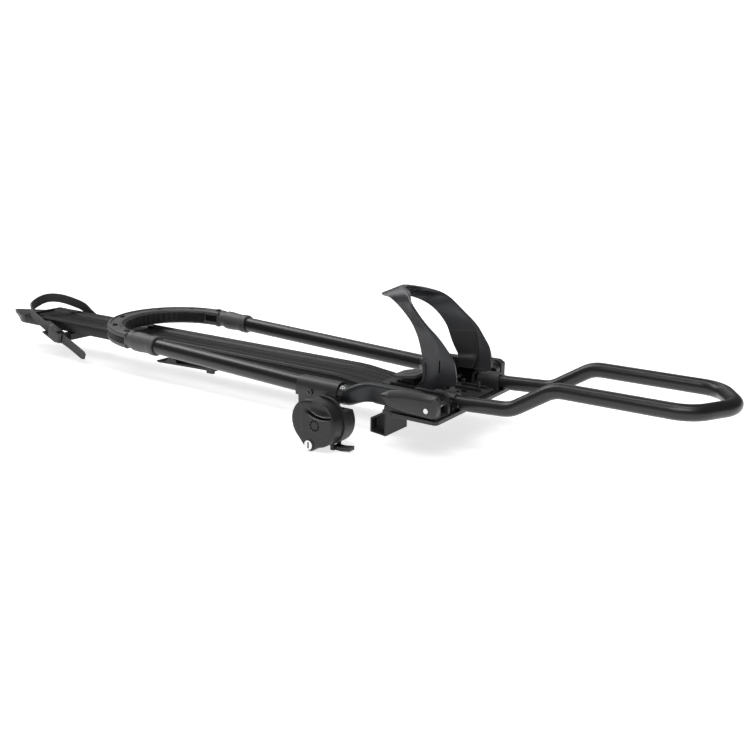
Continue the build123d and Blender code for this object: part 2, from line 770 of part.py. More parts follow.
# Cover on the plate between the feet, with ribs, four posts and its screws
cover_front = plate_front - cover_thick * 2
with BuildPart() as centre_cover:
    block((cover_front - cover_length, cover_front), (-cover_width / 2, cover_width / 2),
          (plate_top, plate_top + cover_thick))
    fillet(centre_cover.edges().filter_by(Axis.Z), cover_thick)
    for rib_share in (-0.4, -0.2, 0.2, 0.4):
        rib_y = rib_share * cover_width
        block((cover_front - cover_length * 0.55, cover_front - cover_length * 0.08),
              (rib_y - cover_rib / 2, rib_y + cover_rib / 2),
              (plate_top, plate_top + cover_thick * 2))
    for post_x_share in (0.18, 0.45):
        for side, name in sides:
            with BuildSketch(Plane.XY.offset(plate_top)):
                with Locations((cover_front - post_x_share * cover_length,
                                side * cover_width * 0.3)):
                    Circle(cover_post_radius)
            extrude(amount=cover_post_height)
keep(centre_cover, "centre_cover")

cover_screw_places = []
for screw_x_share in (0.32, 0.62):
    for side, name in sides:
        cover_screw_places.append((cover_front - screw_x_share * cover_length,
                                   side * cover_width * 0.08, plate_top + cover_thick))
with BuildPart() as cover_screws:
    for place in cover_screw_places:
        with BuildSketch(Plane(origin=place)):
            Circle(screw_head)
            RegularPolygon(screw_head / 2, 6, mode=Mode.SUBTRACT)
        extrude(amount=head_height)
        with BuildSketch(Plane(origin=place)):
            Circle(screw_head)
        extrude(amount=head_height / 3)
keep(cover_screws, "cover_screws")

# Tray: one long extrusion, dished and grooved on top, open below between two lips
tray_half = tray_width / 2
tray_path_points = [
    (tray_rear, 0, 0),
    (tray_bend, 0, 0),
    (tray_low, 0, -tray_drop),
    (tray_front, 0, -tray_drop),
]
with BuildPart() as tray:
    with BuildLine() as tray_path:
        FilletPolyline(*tray_path_points, radius=tray_bend_radius)
    with BuildSketch(Plane(origin=(tray_rear, 0, 0), x_dir=(0, 1, 0), z_dir=(1, 0, 0))):
        with Locations((0, tray_top - tray_depth / 2)):
            RectangleRounded(tray_width, tray_depth, tray_wall)
        with Locations((0, tray_top - (tray_depth - tray_wall + tray_dish) / 2
                        - tray_wall / 2)):
            Rectangle(tray_width - tray_wall * 2, tray_depth - tray_wall * 2 - tray_dish,
                      mode=Mode.SUBTRACT)
        with Locations((0, tray_top - tray_depth)):
            Rectangle(tray_width - tray_lip * 2, tray_wall * 4, mode=Mode.SUBTRACT)
        with Locations((0, tray_top)):
            Rectangle(tray_half * 1.1, tray_dish * 2, mode=Mode.SUBTRACT)
        for groove_share in (-0.82, -0.68, 0.68, 0.82):
            with Locations((groove_share * tray_half, tray_top)):
                Rectangle(tray_groove, tray_groove, mode=Mode.SUBTRACT)
        for groove_share in (-0.3, 0.3):
            with Locations((groove_share * tray_half, tray_top - tray_dish)):
                Rectangle(tray_groove, tray_groove / 2, mode=Mode.SUBTRACT)
    sweep()
keep(tray, "tray")

# End cap: a plug in the tray's rear and a pointed bow behind it
with BuildPart() as tray_end_cap:
    bow_top = tray_top - bow_drop
    with BuildSketch(Plane.XY.offset(bow_top - bow_thick)):
        with BuildLine():
            Polyline((tray_rear - bore_gap, tray_half * 0.95), (tray_rear - bore_gap,
                     -tray_half * 0.95))
            Spline(
                (tray_rear - bore_gap, -tray_half * 0.95),
                (tray_rear - bow_length * 0.45, -tray_half * 0.62),
                (tray_rear - bow_length * 0.92, -tray_half * 0.13),
                tangents=((-1, 0.1, 0), (-1, 0.9, 0)),
            )
            ThreePointArc(
                (tray_rear - bow_length * 0.92, -tray_half * 0.13),
                (tray_rear - bow_length, 0),
                (tray_rear - bow_length * 0.92, tray_half * 0.13),
            )
            Spline(
                (tray_rear - bow_length * 0.92, tray_half * 0.13),
                (tray_rear - bow_length * 0.45, tray_half * 0.62),
                (tray_rear - bore_gap, tray_half * 0.95),
                tangents=((1, 0.9, 0), (1, 0.1, 0)),
            )
        make_face()
    extrude(amount=bow_thick)
    with BuildSketch(side_plane(tray_half * 2)):
        with BuildLine():
            Polyline(
                (tray_rear - bow_length * 1.1, bow_top - bow_thick * 0.35),
                (tray_rear - bow_length * 0.85, bow_top - bow_thick * 0.75),
                (tray_rear - bow_length * 0.3, bow_top - bow_thick),
                (tray_rear - bow_length * 0.3, bow_top - bow_thick * 2),
                (tray_rear - bow_length * 1.1, bow_top - bow_thick * 2),
                close=True,
            )
        make_face()
    extrude(amount=tray_half * 4, mode=Mode.SUBTRACT)
    block((tray_rear - bow_plug * 0.5, tray_rear - bore_gap),
          (-tray_half, tray_half), (tray_top - tray_depth, tray_top))
    fillet(tray_end_cap.edges().filter_by(Axis.Z).sort_by(Axis.X)[:2], bow_plug * 0.4)
    block((tray_rear - bow_plug * 0.25, tray_rear + bow_plug),
          (-tray_half + tray_wall + bore_gap, tray_half - tray_wall - bore_gap),
          (tray_top - tray_depth + tray_wall * 2 + bore_gap,
           tray_top - tray_wall - tray_dish - bore_gap))
keep(tray_end_cap, "tray_end_cap")

# Bracket that ties the tray's front to the base plate, and its screws
cover_rear = cover_front - cover_length
with BuildPart() as tray_bracket:
    block((bracket_rear, cover_rear - slide_gap), (-bracket_width / 2, bracket_width / 2),
          (plate_top, plate_top + bracket_thick))
    fillet(tray_bracket.edges().filter_by(Axis.Z).group_by(Axis.X)[0], bracket_width / 3)
    for side, name in sides:
        block((bracket_rear * 0.8, cover_rear - slide_gap),
              side_span(side, bracket_width / 2 - bracket_thick, bracket_width / 2),
              (plate_top, plate_top + bracket_thick * 2.5))
keep(tray_bracket, "tray_bracket")

with BuildPart() as tray_screws:
    for screw_x in (bracket_rear * 0.78, bracket_rear * 0.42):
        with BuildSketch(Plane(origin=(screw_x, 0, plate_top + bracket_thick))):
            Circle(screw_head)
            RegularPolygon(screw_head / 2, 6, mode=Mode.SUBTRACT)
        extrude(amount=head_height)
        with BuildSketch(Plane(origin=(screw_x, 0, plate_top + bracket_thick))):
            Circle(screw_head)
        extrude(amount=head_height / 3)
keep(tray_screws, "tray_screws")

# Lever pin on the near side, which also guides the near claw link's slotted eye
with BuildPart() as lever_pin:
    cross_rod(lever_pin_x, lever_pin_z, side_span(-1, link_face - head_height,
              lever_inner_face + lever_thick + lug_floor / 2), lever_pin_radius)
    cross_rod(lever_pin_x, lever_pin_z, side_span(-1, link_face - head_height,
              link_face - slide_gap), lever_pin_radius * 1.6)
keep(lever_pin, "lever_pin")

# Quick-release lever, outside the near bracket
with BuildPart() as lever:
    with BuildSketch(side_plane(-lever_inner_face)):
        with BuildLine():
            Polyline(
                (lever_pin_x + lever_nose, lever_pin_z),
                (lever_pin_x + lever_nose, lever_pin_z + lever_rise * 0.8),
                (lever_pin_x + lever_nose * 0.75, lever_pin_z + lever_rise * 0.97),
                (lever_pin_x - lever_reach * 0.15, lever_pin_z + lever_rise),
                (lever_pin_x - lever_reach * 0.55, lever_pin_z + lever_rise * 0.95),
                (lever_pin_x - lever_reach * 0.85, lever_pin_z + lever_rise * 0.75),
                (lever_pin_x - lever_reach, lever_pin_z + lever_rise * 0.5),
                (lever_pin_x - lever_reach * 0.97, lever_pin_z + lever_rise * 0.3),
                (lever_pin_x - lever_reach * 0.83, lever_pin_z - lever_drop * 0.4),
                (lever_pin_x - lever_reach * 0.4, lever_pin_z - lever_drop * 0.85),
                (lever_pin_x + lever_nose * 0.5, lever_pin_z - lever_drop),
                (lever_pin_x + lever_nose * 0.82, lever_pin_z - lever_drop * 0.8),
                close=True,
            )
        make_face()
    extrude(amount=lever_thick)
    fillet(lever.faces().sort_by(Axis.Y)[0].edges(), lever_round)
    cross_rod(lever_pin_x, lever_pin_z, (-plate_width, 0), lever_pin_radius + bore_gap,
              Mode.SUBTRACT)
keep(lever, "lever")

# Claws and their links, one of each a side. Each link has a slotted eye round a pin
link_low = plate_top + slide_gap
leg_front = claw_front - link_leg_front
claw_top = plate_base - slide_gap
for side, name in sides:
    if side < 0:
        eye_x, eye_z, eye_pin = lever_pin_x, lever_pin_z, lever_pin_radius
    else:
        eye_x, eye_z, eye_pin = pivot_x, pivot_z, pivot_radius
    link_eye = eye_pin * 2
    with BuildPart() as claw_link:
        with BuildSketch(side_plane(side * link_face)):
            with BuildLine():
                Polyline(
                    (eye_x + claw_travel, eye_z - link_eye),
                    (eye_x + claw_travel, eye_z + link_eye),
                    (eye_x, eye_z + link_eye),
                    (eye_x - link_eye * 3, link_low + link_height),
                    (leg_front - link_leg, link_low + link_height),
                    (leg_front - link_leg, -link_leg_reach),
                    (leg_front, -link_leg_reach),
                    (leg_front, link_low),
                    (eye_x - link_eye * 2, link_low),
                    (eye_x, eye_z - link_eye),
                    close=True,
                )
            make_face()
            for eye_end in (eye_x, eye_x + claw_travel):
                with Locations((eye_end, eye_z)):
                    Circle(link_eye)
            with Locations((eye_x + claw_travel / 2, eye_z)):
                SlotCenterToCenter(claw_travel, (eye_pin + bore_gap) * 2, mode=Mode.SUBTRACT)
        extrude(amount=-side * link_thick)
    keep(claw_link, "claw_link_" + name)

    with BuildPart() as claw:
        claw_outline = [
            (claw_front, claw_top),
            (claw_front, -claw_depth),
            (claw_front - claw_base, -claw_rear_low),
            (claw_front - claw_base, -claw_rear_high),
        ]
        with BuildSketch(side_plane(side * claw_inner)):
            with BuildLine():
                Polyline(*claw_outline, close=True)
            make_face()
        extrude(amount=-side * (claw_outer - claw_inner))
        inner_front = claw.edges().filter_by(Axis.Z, tolerance=1).group_by(Axis.Y)
        chamfer((inner_front[-1] if side < 0 else inner_front[0]).sort_by(Axis.X)[-1],
                claw_base * 0.3)
        with BuildSketch(side_plane(side * claw_outer)):
            with BuildLine():
                Polyline(*claw_outline, close=True)
            make_face()
            offset(amount=-claw_pocket_wall, kind=Kind.INTERSECTION, mode=Mode.REPLACE)
        extrude(amount=side * claw_pocket_depth, mode=Mode.SUBTRACT)
        block((leg_front - link_leg, leg_front),
              side_span(side, link_face, link_face + link_thick),
              (-link_leg_reach, plate_top + overrun), Mode.SUBTRACT)
    keep(claw, "claw_" + name)

# Rear wheel strap: a slider under the tray, a flat strap on edge, its buckle and catch
strap_route_shares = [
    (-0.10, 0.96, -0.254),
    (0.02, 1.03, -0.085),
    (0.127, 1.02, 0.114),
    (0.303, 1.02, 0.31),
    (0.488, 1.0, 0.55),
    (0.672, 0.72, 0.76),
    (0.78, 0.51, 0.877),
    (0.899, 0.255, 0.953),
    (0.97, 0.0, 0.962),
    (1.0, -0.213, 0.928),
    (1.0, -0.596, 0.803),
    (0.898, -0.985, 0.67),
    (0.748, -1.064, 0.378),
    (0.517, -1.149, 0.243),
    (0.36, -1.19, 0.137),
    (-0.18, -1.19, -0.317),
]


def strap_point(shares):
    """A place on the middle line of the strap."""
    back, across, up = shares
    return Vector(strap_root - back * strap_back, across * strap_side, up * strap_rise)


strap_line = [strap_point(shares) for shares in strap_route_shares]
buckle_start, tail_start = strap_line[-2:]
tail_mid = tail_start + Vector(strap_tail * 0.35, 0, -strap_tail_drop * 0.3)
tail_end = tail_start + Vector(strap_tail, 0, -strap_tail_drop)
strap_line += [tail_mid, tail_end]


def strap_plane(index):
    """The plane square to the strap at one of its points, with its x axis level."""
    before = strap_line[max(index - 1, 0)]
    after = strap_line[min(index + 1, len(strap_line) - 1)]
    along = (after - before).normalized()
    level = Vector(0, 0, 1).cross(along).normalized()
    return Plane(origin=strap_line[index], x_dir=level, z_dir=along)


with BuildPart() as wheel_strap:
    for index in reversed(range(len(strap_line))):
        with BuildSketch(strap_plane(index)):
            Rectangle(strap_thick, strap_width)
    loft(ruled=True)
keep(wheel_strap, "wheel_strap")

# Where the buckle lies along the strap, and the face that its arm meets
buckle_run = (tail_start - buckle_start).normalized()
buckle_centre = (tail_start + buckle_start) * 0.5
buckle_plane = Plane(origin=buckle_centre, x_dir=buckle_run, z_dir=(0, -1, 0))
buckle_floor = strap_thick / 2 + slide_gap
buckle_face = -buckle_centre.Y - buckle_floor - buckle_wall

# Slider that holds the strap: a head in the tray's channel, a plate and an arm below it
tray_under = tray_top - tray_depth
channel_floor = tray_under + tray_wall
head_half = tray_half - tray_wall * 2
neck_half = tray_half - tray_lip - slide_gap
plate_high = tray_under - slide_gap
plate_low = plate_high - slider_thick
arm_low = plate_low - slider_arm_drop
with BuildPart() as strap_slider:
    block((strap_root + slider_thick, strap_root + slider_length), (-head_half, head_half),
          (channel_floor + slide_gap, channel_floor + slide_gap + slider_thick))
    block((strap_root + slider_thick, strap_root + slider_length), (-neck_half, neck_half),
          (plate_high, channel_floor + slide_gap))
    block((strap_root, strap_root + slider_length * 1.7), (-slider_width / 2,
          slider_width / 2), (plate_low, plate_high))
    block((strap_root, strap_root + slider_thick * 6), (-strap_side + slider_thick,
          strap_side - slider_thick * 1.6), (arm_low, plate_low))
    with BuildSketch(strap_plane(0)):
        Rectangle(strap_thick * 2.4, strap_width + strap_thick)
    extrude(amount=-slider_neck)
    block((strap_root + slider_thick, strap_root + slider_thick * 4),
          (-buckle_face, -strap_side / 2), (arm_low, plate_low))
    block((strap_root - slider_width, strap_root + slider_length), (-tray_half, tray_half),
          (tray_under, channel_floor), Mode.SUBTRACT)
    block((strap_root + slider_thick, strap_root + slider_length), (-neck_half, neck_half),
          (plate_high, channel_floor + slide_gap))
keep(strap_slider, "strap_slider")

# Buckle body: a channel along the strap, open outward, with ears for the catch's pin
buckle_ear = strap_thick / 2 + buckle_wall * 2
catch_x = -buckle_length * 0.15
catch_z = strap_thick / 2 + buckle_wall
with BuildPart() as strap_buckle:
    with BuildSketch(buckle_plane.offset(-buckle_floor - buckle_wall)):
        RectangleRounded(buckle_length, buckle_width, buckle_wall)
    extrude(amount=buckle_wall)
    with BuildSketch(buckle_plane.offset(-buckle_floor)):
        for edge in (-1, 1):
            with Locations((-buckle_length * 0.1, edge * (buckle_width - buckle_wall) / 2)):
                Rectangle(buckle_length * 0.8, buckle_wall)
    extrude(amount=buckle_floor + buckle_ear)
    with Locations(buckle_plane):
        with Locations(Location((catch_x, 0, catch_z), (90, 0, 0))):
            Cylinder(buckle_pin_radius + bore_gap, buckle_width * 2, mode=Mode.SUBTRACT)
keep(strap_buckle, "strap_buckle")

with BuildPart() as buckle_pin:
    with Locations(buckle_plane):
        with Locations(Location((catch_x, 0, catch_z), (90, 0, 0))):
            Cylinder(buckle_pin_radius, buckle_width + strap_thick / 2)
keep(buckle_pin, "buckle_pin")

# Buckle lever, the catch that presses on the strap
catch_half = buckle_width / 2 - buckle_wall - slide_gap
catch_hub = buckle_wall - slide_gap / 2
catch_reach = buckle_length * 0.64
catch_pin_at = buckle_plane.from_local_coords(Vector(catch_x, 0, catch_z))
catch_plane = Plane(origin=catch_pin_at, x_dir=buckle_run, z_dir=-buckle_plane.y_dir)
with BuildPart() as buckle_lever:
    with BuildSketch(catch_plane):
        Circle(catch_hub)
        with BuildLine():
            Polyline(
                (0, -catch_hub),
                (catch_reach, -catch_hub * 0.9),
                (catch_reach * 1.04, catch_hub * 0.1),
                (catch_reach * 0.9, catch_hub * 1.4),
                (0, catch_hub),
                close=True,
            )
        make_face()
        Circle(buckle_pin_radius + bore_gap, mode=Mode.SUBTRACT)
    extrude(amount=catch_half, both=True)
keep(buckle_lever, "buckle_lever")

# Rear clamp: a slider on the tray with a post, a pad, a hinged lever and its pin
clamp_front = clamp_x + clamp_length / 2
clamp_rear = clamp_x - clamp_length / 2
clamp_low = plate_high - clamp_plate
post_low = plate_high - clamp_drop - clamp_pin_radius * 2
hinge_x = clamp_front + clamp_pin_radius * 3
hinge_z = plate_high - clamp_drop
with BuildPart() as rear_clamp_slider:
    block((clamp_rear, clamp_front), (-head_half, head_half),
          (channel_floor + slide_gap, channel_floor + slide_gap + slider_thick))
    block((clamp_rear, clamp_front), (-neck_half, neck_half),
          (plate_high, channel_floor + slide_gap))
    block((clamp_rear, hinge_x + clamp_pin_radius * 3), (-clamp_width / 2, clamp_width / 2),
          (clamp_low, plate_high))
    for side, name in sides:
        block((hinge_x - clamp_pin_radius * 2, hinge_x + clamp_pin_radius * 3),
              side_span(side, clamp_width * 0.36, clamp_width / 2), (post_low, clamp_low))
    block((hinge_x + clamp_pin_radius * 2, hinge_x + clamp_pin_radius * 3),
          (-clamp_width / 2, clamp_width / 2), (hinge_z, clamp_low))
    cross_rod(hinge_x, hinge_z, (-clamp_width, clamp_width), clamp_pin_radius + bore_gap,
              Mode.SUBTRACT)
keep(rear_clamp_slider, "rear_clamp_slider")

with BuildPart() as rear_pad:
    block((clamp_rear, clamp_front), (-clamp_width / 2, clamp_width / 2),
          (clamp_low - pad_thick / 2, clamp_low))
keep(rear_pad, "rear_pad")

with BuildPart() as rear_clamp_pin:
    cross_rod(hinge_x, hinge_z, (-clamp_width / 2, clamp_width / 2), clamp_pin_radius)
keep(rear_clamp_pin, "rear_clamp_pin")

# Rear clamp lever: a long plate with a grip at its tip and a stop that holds the bar
tongue_half = clamp_width * 0.36 - slide_gap
tip_x = hinge_x - clamp_lever_length
with BuildPart() as rear_clamp_lever:
    with BuildSketch(side_plane(tongue_half)):
        with BuildLine():
            Polyline(
                (hinge_x, hinge_z + clamp_lever_thick * 0.5),
                (hinge_x - clamp_lever_length * 0.62, hinge_z - clamp_lever_thick * 0.5),
                (hinge_x - clamp_lever_length * 0.64, hinge_z + clamp_lever_thick * 1.2),
                (hinge_x - clamp_lever_length * 0.76, hinge_z + clamp_lever_thick * 1.6),
                (hinge_x - clamp_lever_length * 0.84, hinge_z - clamp_lever_thick * 0.9),
                (tip_x, hinge_z - clamp_lever_thick * 1.2),
                (tip_x + clamp_lever_thick, hinge_z - clamp_lever_thick * 2.0),
                (hinge_x - clamp_lever_length * 0.3, hinge_z - clamp_lever_thick * 1.2),
                (hinge_x, hinge_z - clamp_lever_thick),
                close=True,
            )
        make_face()
        with Locations((hinge_x, hinge_z)):
            Circle(clamp_pin_radius * 1.8)
    extrude(amount=tongue_half * 2)
    cross_rod(hinge_x, hinge_z, (-clamp_width, clamp_width), clamp_pin_radius + bore_gap,
              Mode.SUBTRACT)
keep(rear_clamp_lever, "rear_clamp_lever")
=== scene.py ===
# %% [markdown]
# # A roof carrier for one bicycle
# The exact parts come from the CAD model: real tubes, pins and plates at their real size.
# Blender adds what the eye sees: smooth mouldings, ribs, satin black finishes and light.
# Everything is in metres, X points to the front, Z up, and the origin is where the front
# pad rests on its crossbar.

# %% Load the frame
import json
import math

import bmesh
import bpy
import numpy as np
from mathutils import Matrix, Vector

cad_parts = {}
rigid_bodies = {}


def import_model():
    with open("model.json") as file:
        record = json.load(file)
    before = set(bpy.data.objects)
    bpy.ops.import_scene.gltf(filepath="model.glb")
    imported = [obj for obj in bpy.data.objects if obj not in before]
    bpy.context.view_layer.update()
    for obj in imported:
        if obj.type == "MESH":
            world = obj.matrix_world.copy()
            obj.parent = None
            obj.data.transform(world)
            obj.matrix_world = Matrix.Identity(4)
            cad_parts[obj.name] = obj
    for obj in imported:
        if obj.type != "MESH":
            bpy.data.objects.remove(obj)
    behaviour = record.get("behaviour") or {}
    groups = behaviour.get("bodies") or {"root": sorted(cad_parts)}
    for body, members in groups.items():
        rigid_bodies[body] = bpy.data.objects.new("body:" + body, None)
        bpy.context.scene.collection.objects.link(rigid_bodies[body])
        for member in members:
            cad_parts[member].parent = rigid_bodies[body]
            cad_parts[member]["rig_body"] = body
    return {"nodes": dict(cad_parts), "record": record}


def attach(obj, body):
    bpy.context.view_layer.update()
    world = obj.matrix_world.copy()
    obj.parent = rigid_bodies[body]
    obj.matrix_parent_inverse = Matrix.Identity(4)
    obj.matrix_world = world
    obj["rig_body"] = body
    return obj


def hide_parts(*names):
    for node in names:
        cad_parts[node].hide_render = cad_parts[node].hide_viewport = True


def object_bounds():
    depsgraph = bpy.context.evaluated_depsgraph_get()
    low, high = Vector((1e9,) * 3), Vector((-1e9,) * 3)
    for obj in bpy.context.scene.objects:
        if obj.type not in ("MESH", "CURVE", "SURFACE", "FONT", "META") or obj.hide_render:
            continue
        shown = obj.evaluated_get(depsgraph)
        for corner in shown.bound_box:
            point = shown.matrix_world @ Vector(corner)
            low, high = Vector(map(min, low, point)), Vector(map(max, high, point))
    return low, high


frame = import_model()
cad_low, cad_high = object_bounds()
nodes = frame["nodes"]
slot_of = {part["node"]: part["material_slot"] for part in frame["record"]["subparts"]}
body_of = {node: piece["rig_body"] for node, piece in nodes.items()}
mm = 0.001
sides = {"near": -1, "far": 1}
print(len(nodes), "CAD nodes, from", tuple(cad_low), "to", tuple(cad_high))

# %% [markdown]
# ## Camera
# The photograph was taken from the front near corner, a little above the carrier. The
# place and the angles below were found by matching the tubes' edges, which are straight
# and long. A rotation about Z, then X, then a small roll is how a tripod head turns.

# %% The camera
camera_place = (0.6543, -1.1235, 0.3866)
camera_pan, camera_tilt, camera_roll = 34.70, 74.77, 0.50
camera_data = bpy.data.cameras.new("camera")
camera_data.lens = 44.0
camera_data.sensor_width = 36.0
camera_data.clip_end = 60.0
camera = bpy.data.objects.new("camera", camera_data)
camera.matrix_world = (
    Matrix.Translation(camera_place)
    @ Matrix.Rotation(math.radians(camera_pan), 4, "Z")
    @ Matrix.Rotation(math.radians(camera_tilt), 4, "X")
    @ Matrix.Rotation(math.radians(camera_roll), 4, "Z")
)
bpy.context.scene.collection.objects.link(camera)
bpy.context.scene.camera = camera
bpy.context.scene.view_settings.view_transform = "Standard"
print("camera looks along", -camera.matrix_world.col[2].xyz)

# %% [markdown]
# ## Light
# Black things are drawn by what they reflect. A studio for them is bright below and at its
# walls' feet, has a darker ceiling and long soft lamps, so that a tube shows one dark band
# between two pale ones. The world could be a picture of a studio, but a ramp over the
# direction's height is enough and has nothing to load.

# %% The room and its lamps
world = bpy.data.worlds.new("room")
bpy.context.scene.world = world
world.use_nodes = True
room = world.node_tree
room.nodes.clear()
room_out = room.nodes.new("ShaderNodeOutputWorld")
room_mix = room.nodes.new("ShaderNodeMixShader")
room_light = room.nodes.new("ShaderNodeBackground")
room_seen = room.nodes.new("ShaderNodeBackground")
room_ray = room.nodes.new("ShaderNodeLightPath")
room_place = room.nodes.new("ShaderNodeTexCoord")
room_split = room.nodes.new("ShaderNodeSeparateXYZ")
room_ramp = room.nodes.new("ShaderNodeValToRGB")
for stop, level in ((0.0, 0.95), (0.46, 0.85), (0.57, 0.11), (1.0, 0.08)):
    point = room_ramp.color_ramp.elements.new(stop) if 0 < stop < 1 else (
        room_ramp.color_ramp.elements[0 if stop == 0 else -1])
    point.color = (level, level, level, 1)
room_half = room.nodes.new("ShaderNodeMath")
room_half.operation = "MULTIPLY_ADD"
room_half.inputs[1].default_value = 0.5
room_half.inputs[2].default_value = 0.5
room_light.inputs["Strength"].default_value = 0.8
room_seen.inputs["Color"].default_value = (1, 1, 1, 1)
for output, socket in (
        (room_place.outputs["Generated"], room_split.inputs[0]),
        (room_split.outputs["Z"], room_half.inputs[0]), (room_half.outputs[0], room_ramp.inputs[0]),
        (room_ramp.outputs["Color"], room_light.inputs["Color"]),
        (room_ray.outputs["Is Camera Ray"], room_mix.inputs[0]),
        (room_light.outputs[0], room_mix.inputs[1]), (room_seen.outputs[0], room_mix.inputs[2]),
        (room_mix.outputs[0], room_out.inputs[0])):
    room.links.new(output, socket)


def soft_lamp(name, place, target, size, power):
    """A large rectangle of light at a place, facing a target."""
    lamp = bpy.data.lights.new(name, "AREA")
    lamp.shape = "RECTANGLE"
    lamp.size, lamp.size_y = size
    lamp.energy = power
    holder = bpy.data.objects.new(name, lamp)
    toward = Vector(np.array(target) - np.array(place))
    turn = toward.to_track_quat("-Z", "Y").to_matrix().to_4x4()
    holder.matrix_world = Matrix.Translation(place) @ turn
    bpy.context.scene.collection.objects.link(holder)


middle, arch_foot = (-0.3, 0.0, 0.0), (-0.1, 0.0, 0.1)
lamps = {
    # place, target, width and length in metres, power in watts
    "key_lamp": ((0.6, -1.6, 2.2), middle, (2.2, 1.0), 38),
    "rear_lamp": ((-1.4, 2.0, 1.6), middle, (2.4, 0.7), 7),
    "top_lamp": ((-0.3, 0.0, 2.6), middle, (3.0, 0.5), 22),
    "ridge_lamp": ((-2.0, 0.2, 1.9), arch_foot, (1.2, 1.2), 22),
}
for name, (place, target, size, power) in lamps.items():
    soft_lamp(name, place, target, size, power)
print(len(lamps), "soft lamps and a room")

# %% [markdown]
# ## Finishes
# One small node group gives every surface its fine grain: a soft mottling of the colour,
# a roughness that wanders, and a height for the bump; on the toothed ring, the pale end of
# the mottling is painted glint. A second one finds edges, by comparing the true normal with
# one taken over a small radius, and makes them paler, partly as wear and partly as a painted
# highlight. A third lays a little dust on what faces up. Painted pictures would need each
# piece unwrapped, and these patterns need only the place of the point.

# %% Helpers for node groups


def new_group(name, inputs, outputs):
    """An empty shader group with named sockets, and its entry and exit nodes."""
    group = bpy.data.node_groups.new(name, "ShaderNodeTree")
    for label, kind, value in inputs:
        socket = group.interface.new_socket(label, in_out="INPUT", socket_type=kind)
        if value is not None:
            socket.default_value = value
    for label, kind in outputs:
        group.interface.new_socket(label, in_out="OUTPUT", socket_type=kind)
    return group, group.nodes.new("NodeGroupInput"), group.nodes.new("NodeGroupOutput")


def math_node(tree, operation, first, second=None, third=None):
    """A math node fed by sockets or plain numbers; it gives its result."""
    node = tree.nodes.new("ShaderNodeMath")
    node.operation = operation
    for index, value in enumerate((first, second, third)):
        if value is None:
            continue
        if isinstance(value, (int, float)):
            node.inputs[index].default_value = value
        else:
            tree.links.new(value, node.inputs[index])
    return node.outputs[0]


def mix_colour(tree, factor, first, second):
    """A colour between two others; it gives its result."""
    node = tree.nodes.new("ShaderNodeMix")
    node.data_type = "RGBA"
    for index, value in ((0, factor), (6, first), (7, second)):
        tree.links.new(value, node.inputs[index])
    return node.outputs[2]


def noise(tree, place, scale, detail):
    """A noise texture read at a place; it gives its value."""
    node = tree.nodes.new("ShaderNodeTexNoise")
    node.inputs["Detail"].default_value = detail
    if isinstance(scale, (int, float)):
        node.inputs["Scale"].default_value = scale
    else:
        tree.links.new(scale, node.inputs["Scale"])
    tree.links.new(place, node.inputs["Vector"])
    return node.outputs["Fac"]


colour_kind, value_kind, vector_kind = "NodeSocketColor", "NodeSocketFloat", "NodeSocketVector"

# %% Grain: mottled colour, wandering roughness and a height
grain, grain_in, grain_out = new_group(
    "fine_grain",
    [("Place", vector_kind, None), ("Scale", value_kind, 900.0), ("Dark", colour_kind, None),
     ("Pale", colour_kind, None), ("Smooth", value_kind, 0.3), ("Rough", value_kind, 0.5)],
    [("Colour", colour_kind), ("Roughness", value_kind), ("Height", value_kind)],
)
fine = noise(grain, grain_in.outputs["Place"], grain_in.outputs["Scale"], 3.0)
patches = noise(grain, grain_in.outputs["Place"], 9.0, 4.0)
blend = math_node(grain, "MULTIPLY_ADD", fine, 0.45, math_node(grain, "MULTIPLY", patches, 0.55))
grain.links.new(mix_colour(grain, blend, grain_in.outputs["Dark"], grain_in.outputs["Pale"]),
                grain_out.inputs["Colour"])
spread = math_node(grain, "SUBTRACT", grain_in.outputs["Rough"], grain_in.outputs["Smooth"])
grain.links.new(math_node(grain, "MULTIPLY_ADD", patches, spread, grain_in.outputs["Smooth"]),
                grain_out.inputs["Roughness"])
grain.links.new(fine, grain_out.inputs["Height"])

# %% Paler edges: partly wear, partly painted highlight
pale_edges, pale_edges_in, pale_edges_out = new_group(
    "paled_edges_wear_and_highlight",
    [("Place", vector_kind, None), ("Colour", colour_kind, None), ("Pale", colour_kind, None),
     ("Reach", value_kind, 0.001), ("Amount", value_kind, 0.5)],
    [("Colour", colour_kind)],
)
rounded = pale_edges.nodes.new("ShaderNodeBevel")
rounded.samples = 4
pale_edges.links.new(pale_edges_in.outputs["Reach"], rounded.inputs["Radius"])
true_side = pale_edges.nodes.new("ShaderNodeNewGeometry")
agree = pale_edges.nodes.new("ShaderNodeVectorMath")
agree.operation = "DOT_PRODUCT"
pale_edges.links.new(rounded.outputs[0], agree.inputs[0])
pale_edges.links.new(true_side.outputs["Normal"], agree.inputs[1])
edge = math_node(pale_edges, "SUBTRACT", 1.0, agree.outputs["Value"])
edge = math_node(pale_edges, "MULTIPLY", edge, 6.0)
patchy = noise(pale_edges, pale_edges_in.outputs["Place"], 60.0, 3.0)
edge = math_node(pale_edges, "MULTIPLY", edge, math_node(pale_edges, "MULTIPLY", patchy, 1.6))
# The mask makes edges paler: partly wear, partly a painted highlight along them.
mask = pale_edges.nodes.new("ShaderNodeClamp")
pale_edges.links.new(math_node(pale_edges, "MULTIPLY", edge, pale_edges_in.outputs["Amount"]), mask.inputs[0])
pale_edges.links.new(mix_colour(pale_edges, mask.outputs[0], pale_edges_in.outputs["Colour"],
                            pale_edges_in.outputs["Pale"]), pale_edges_out.inputs["Colour"])

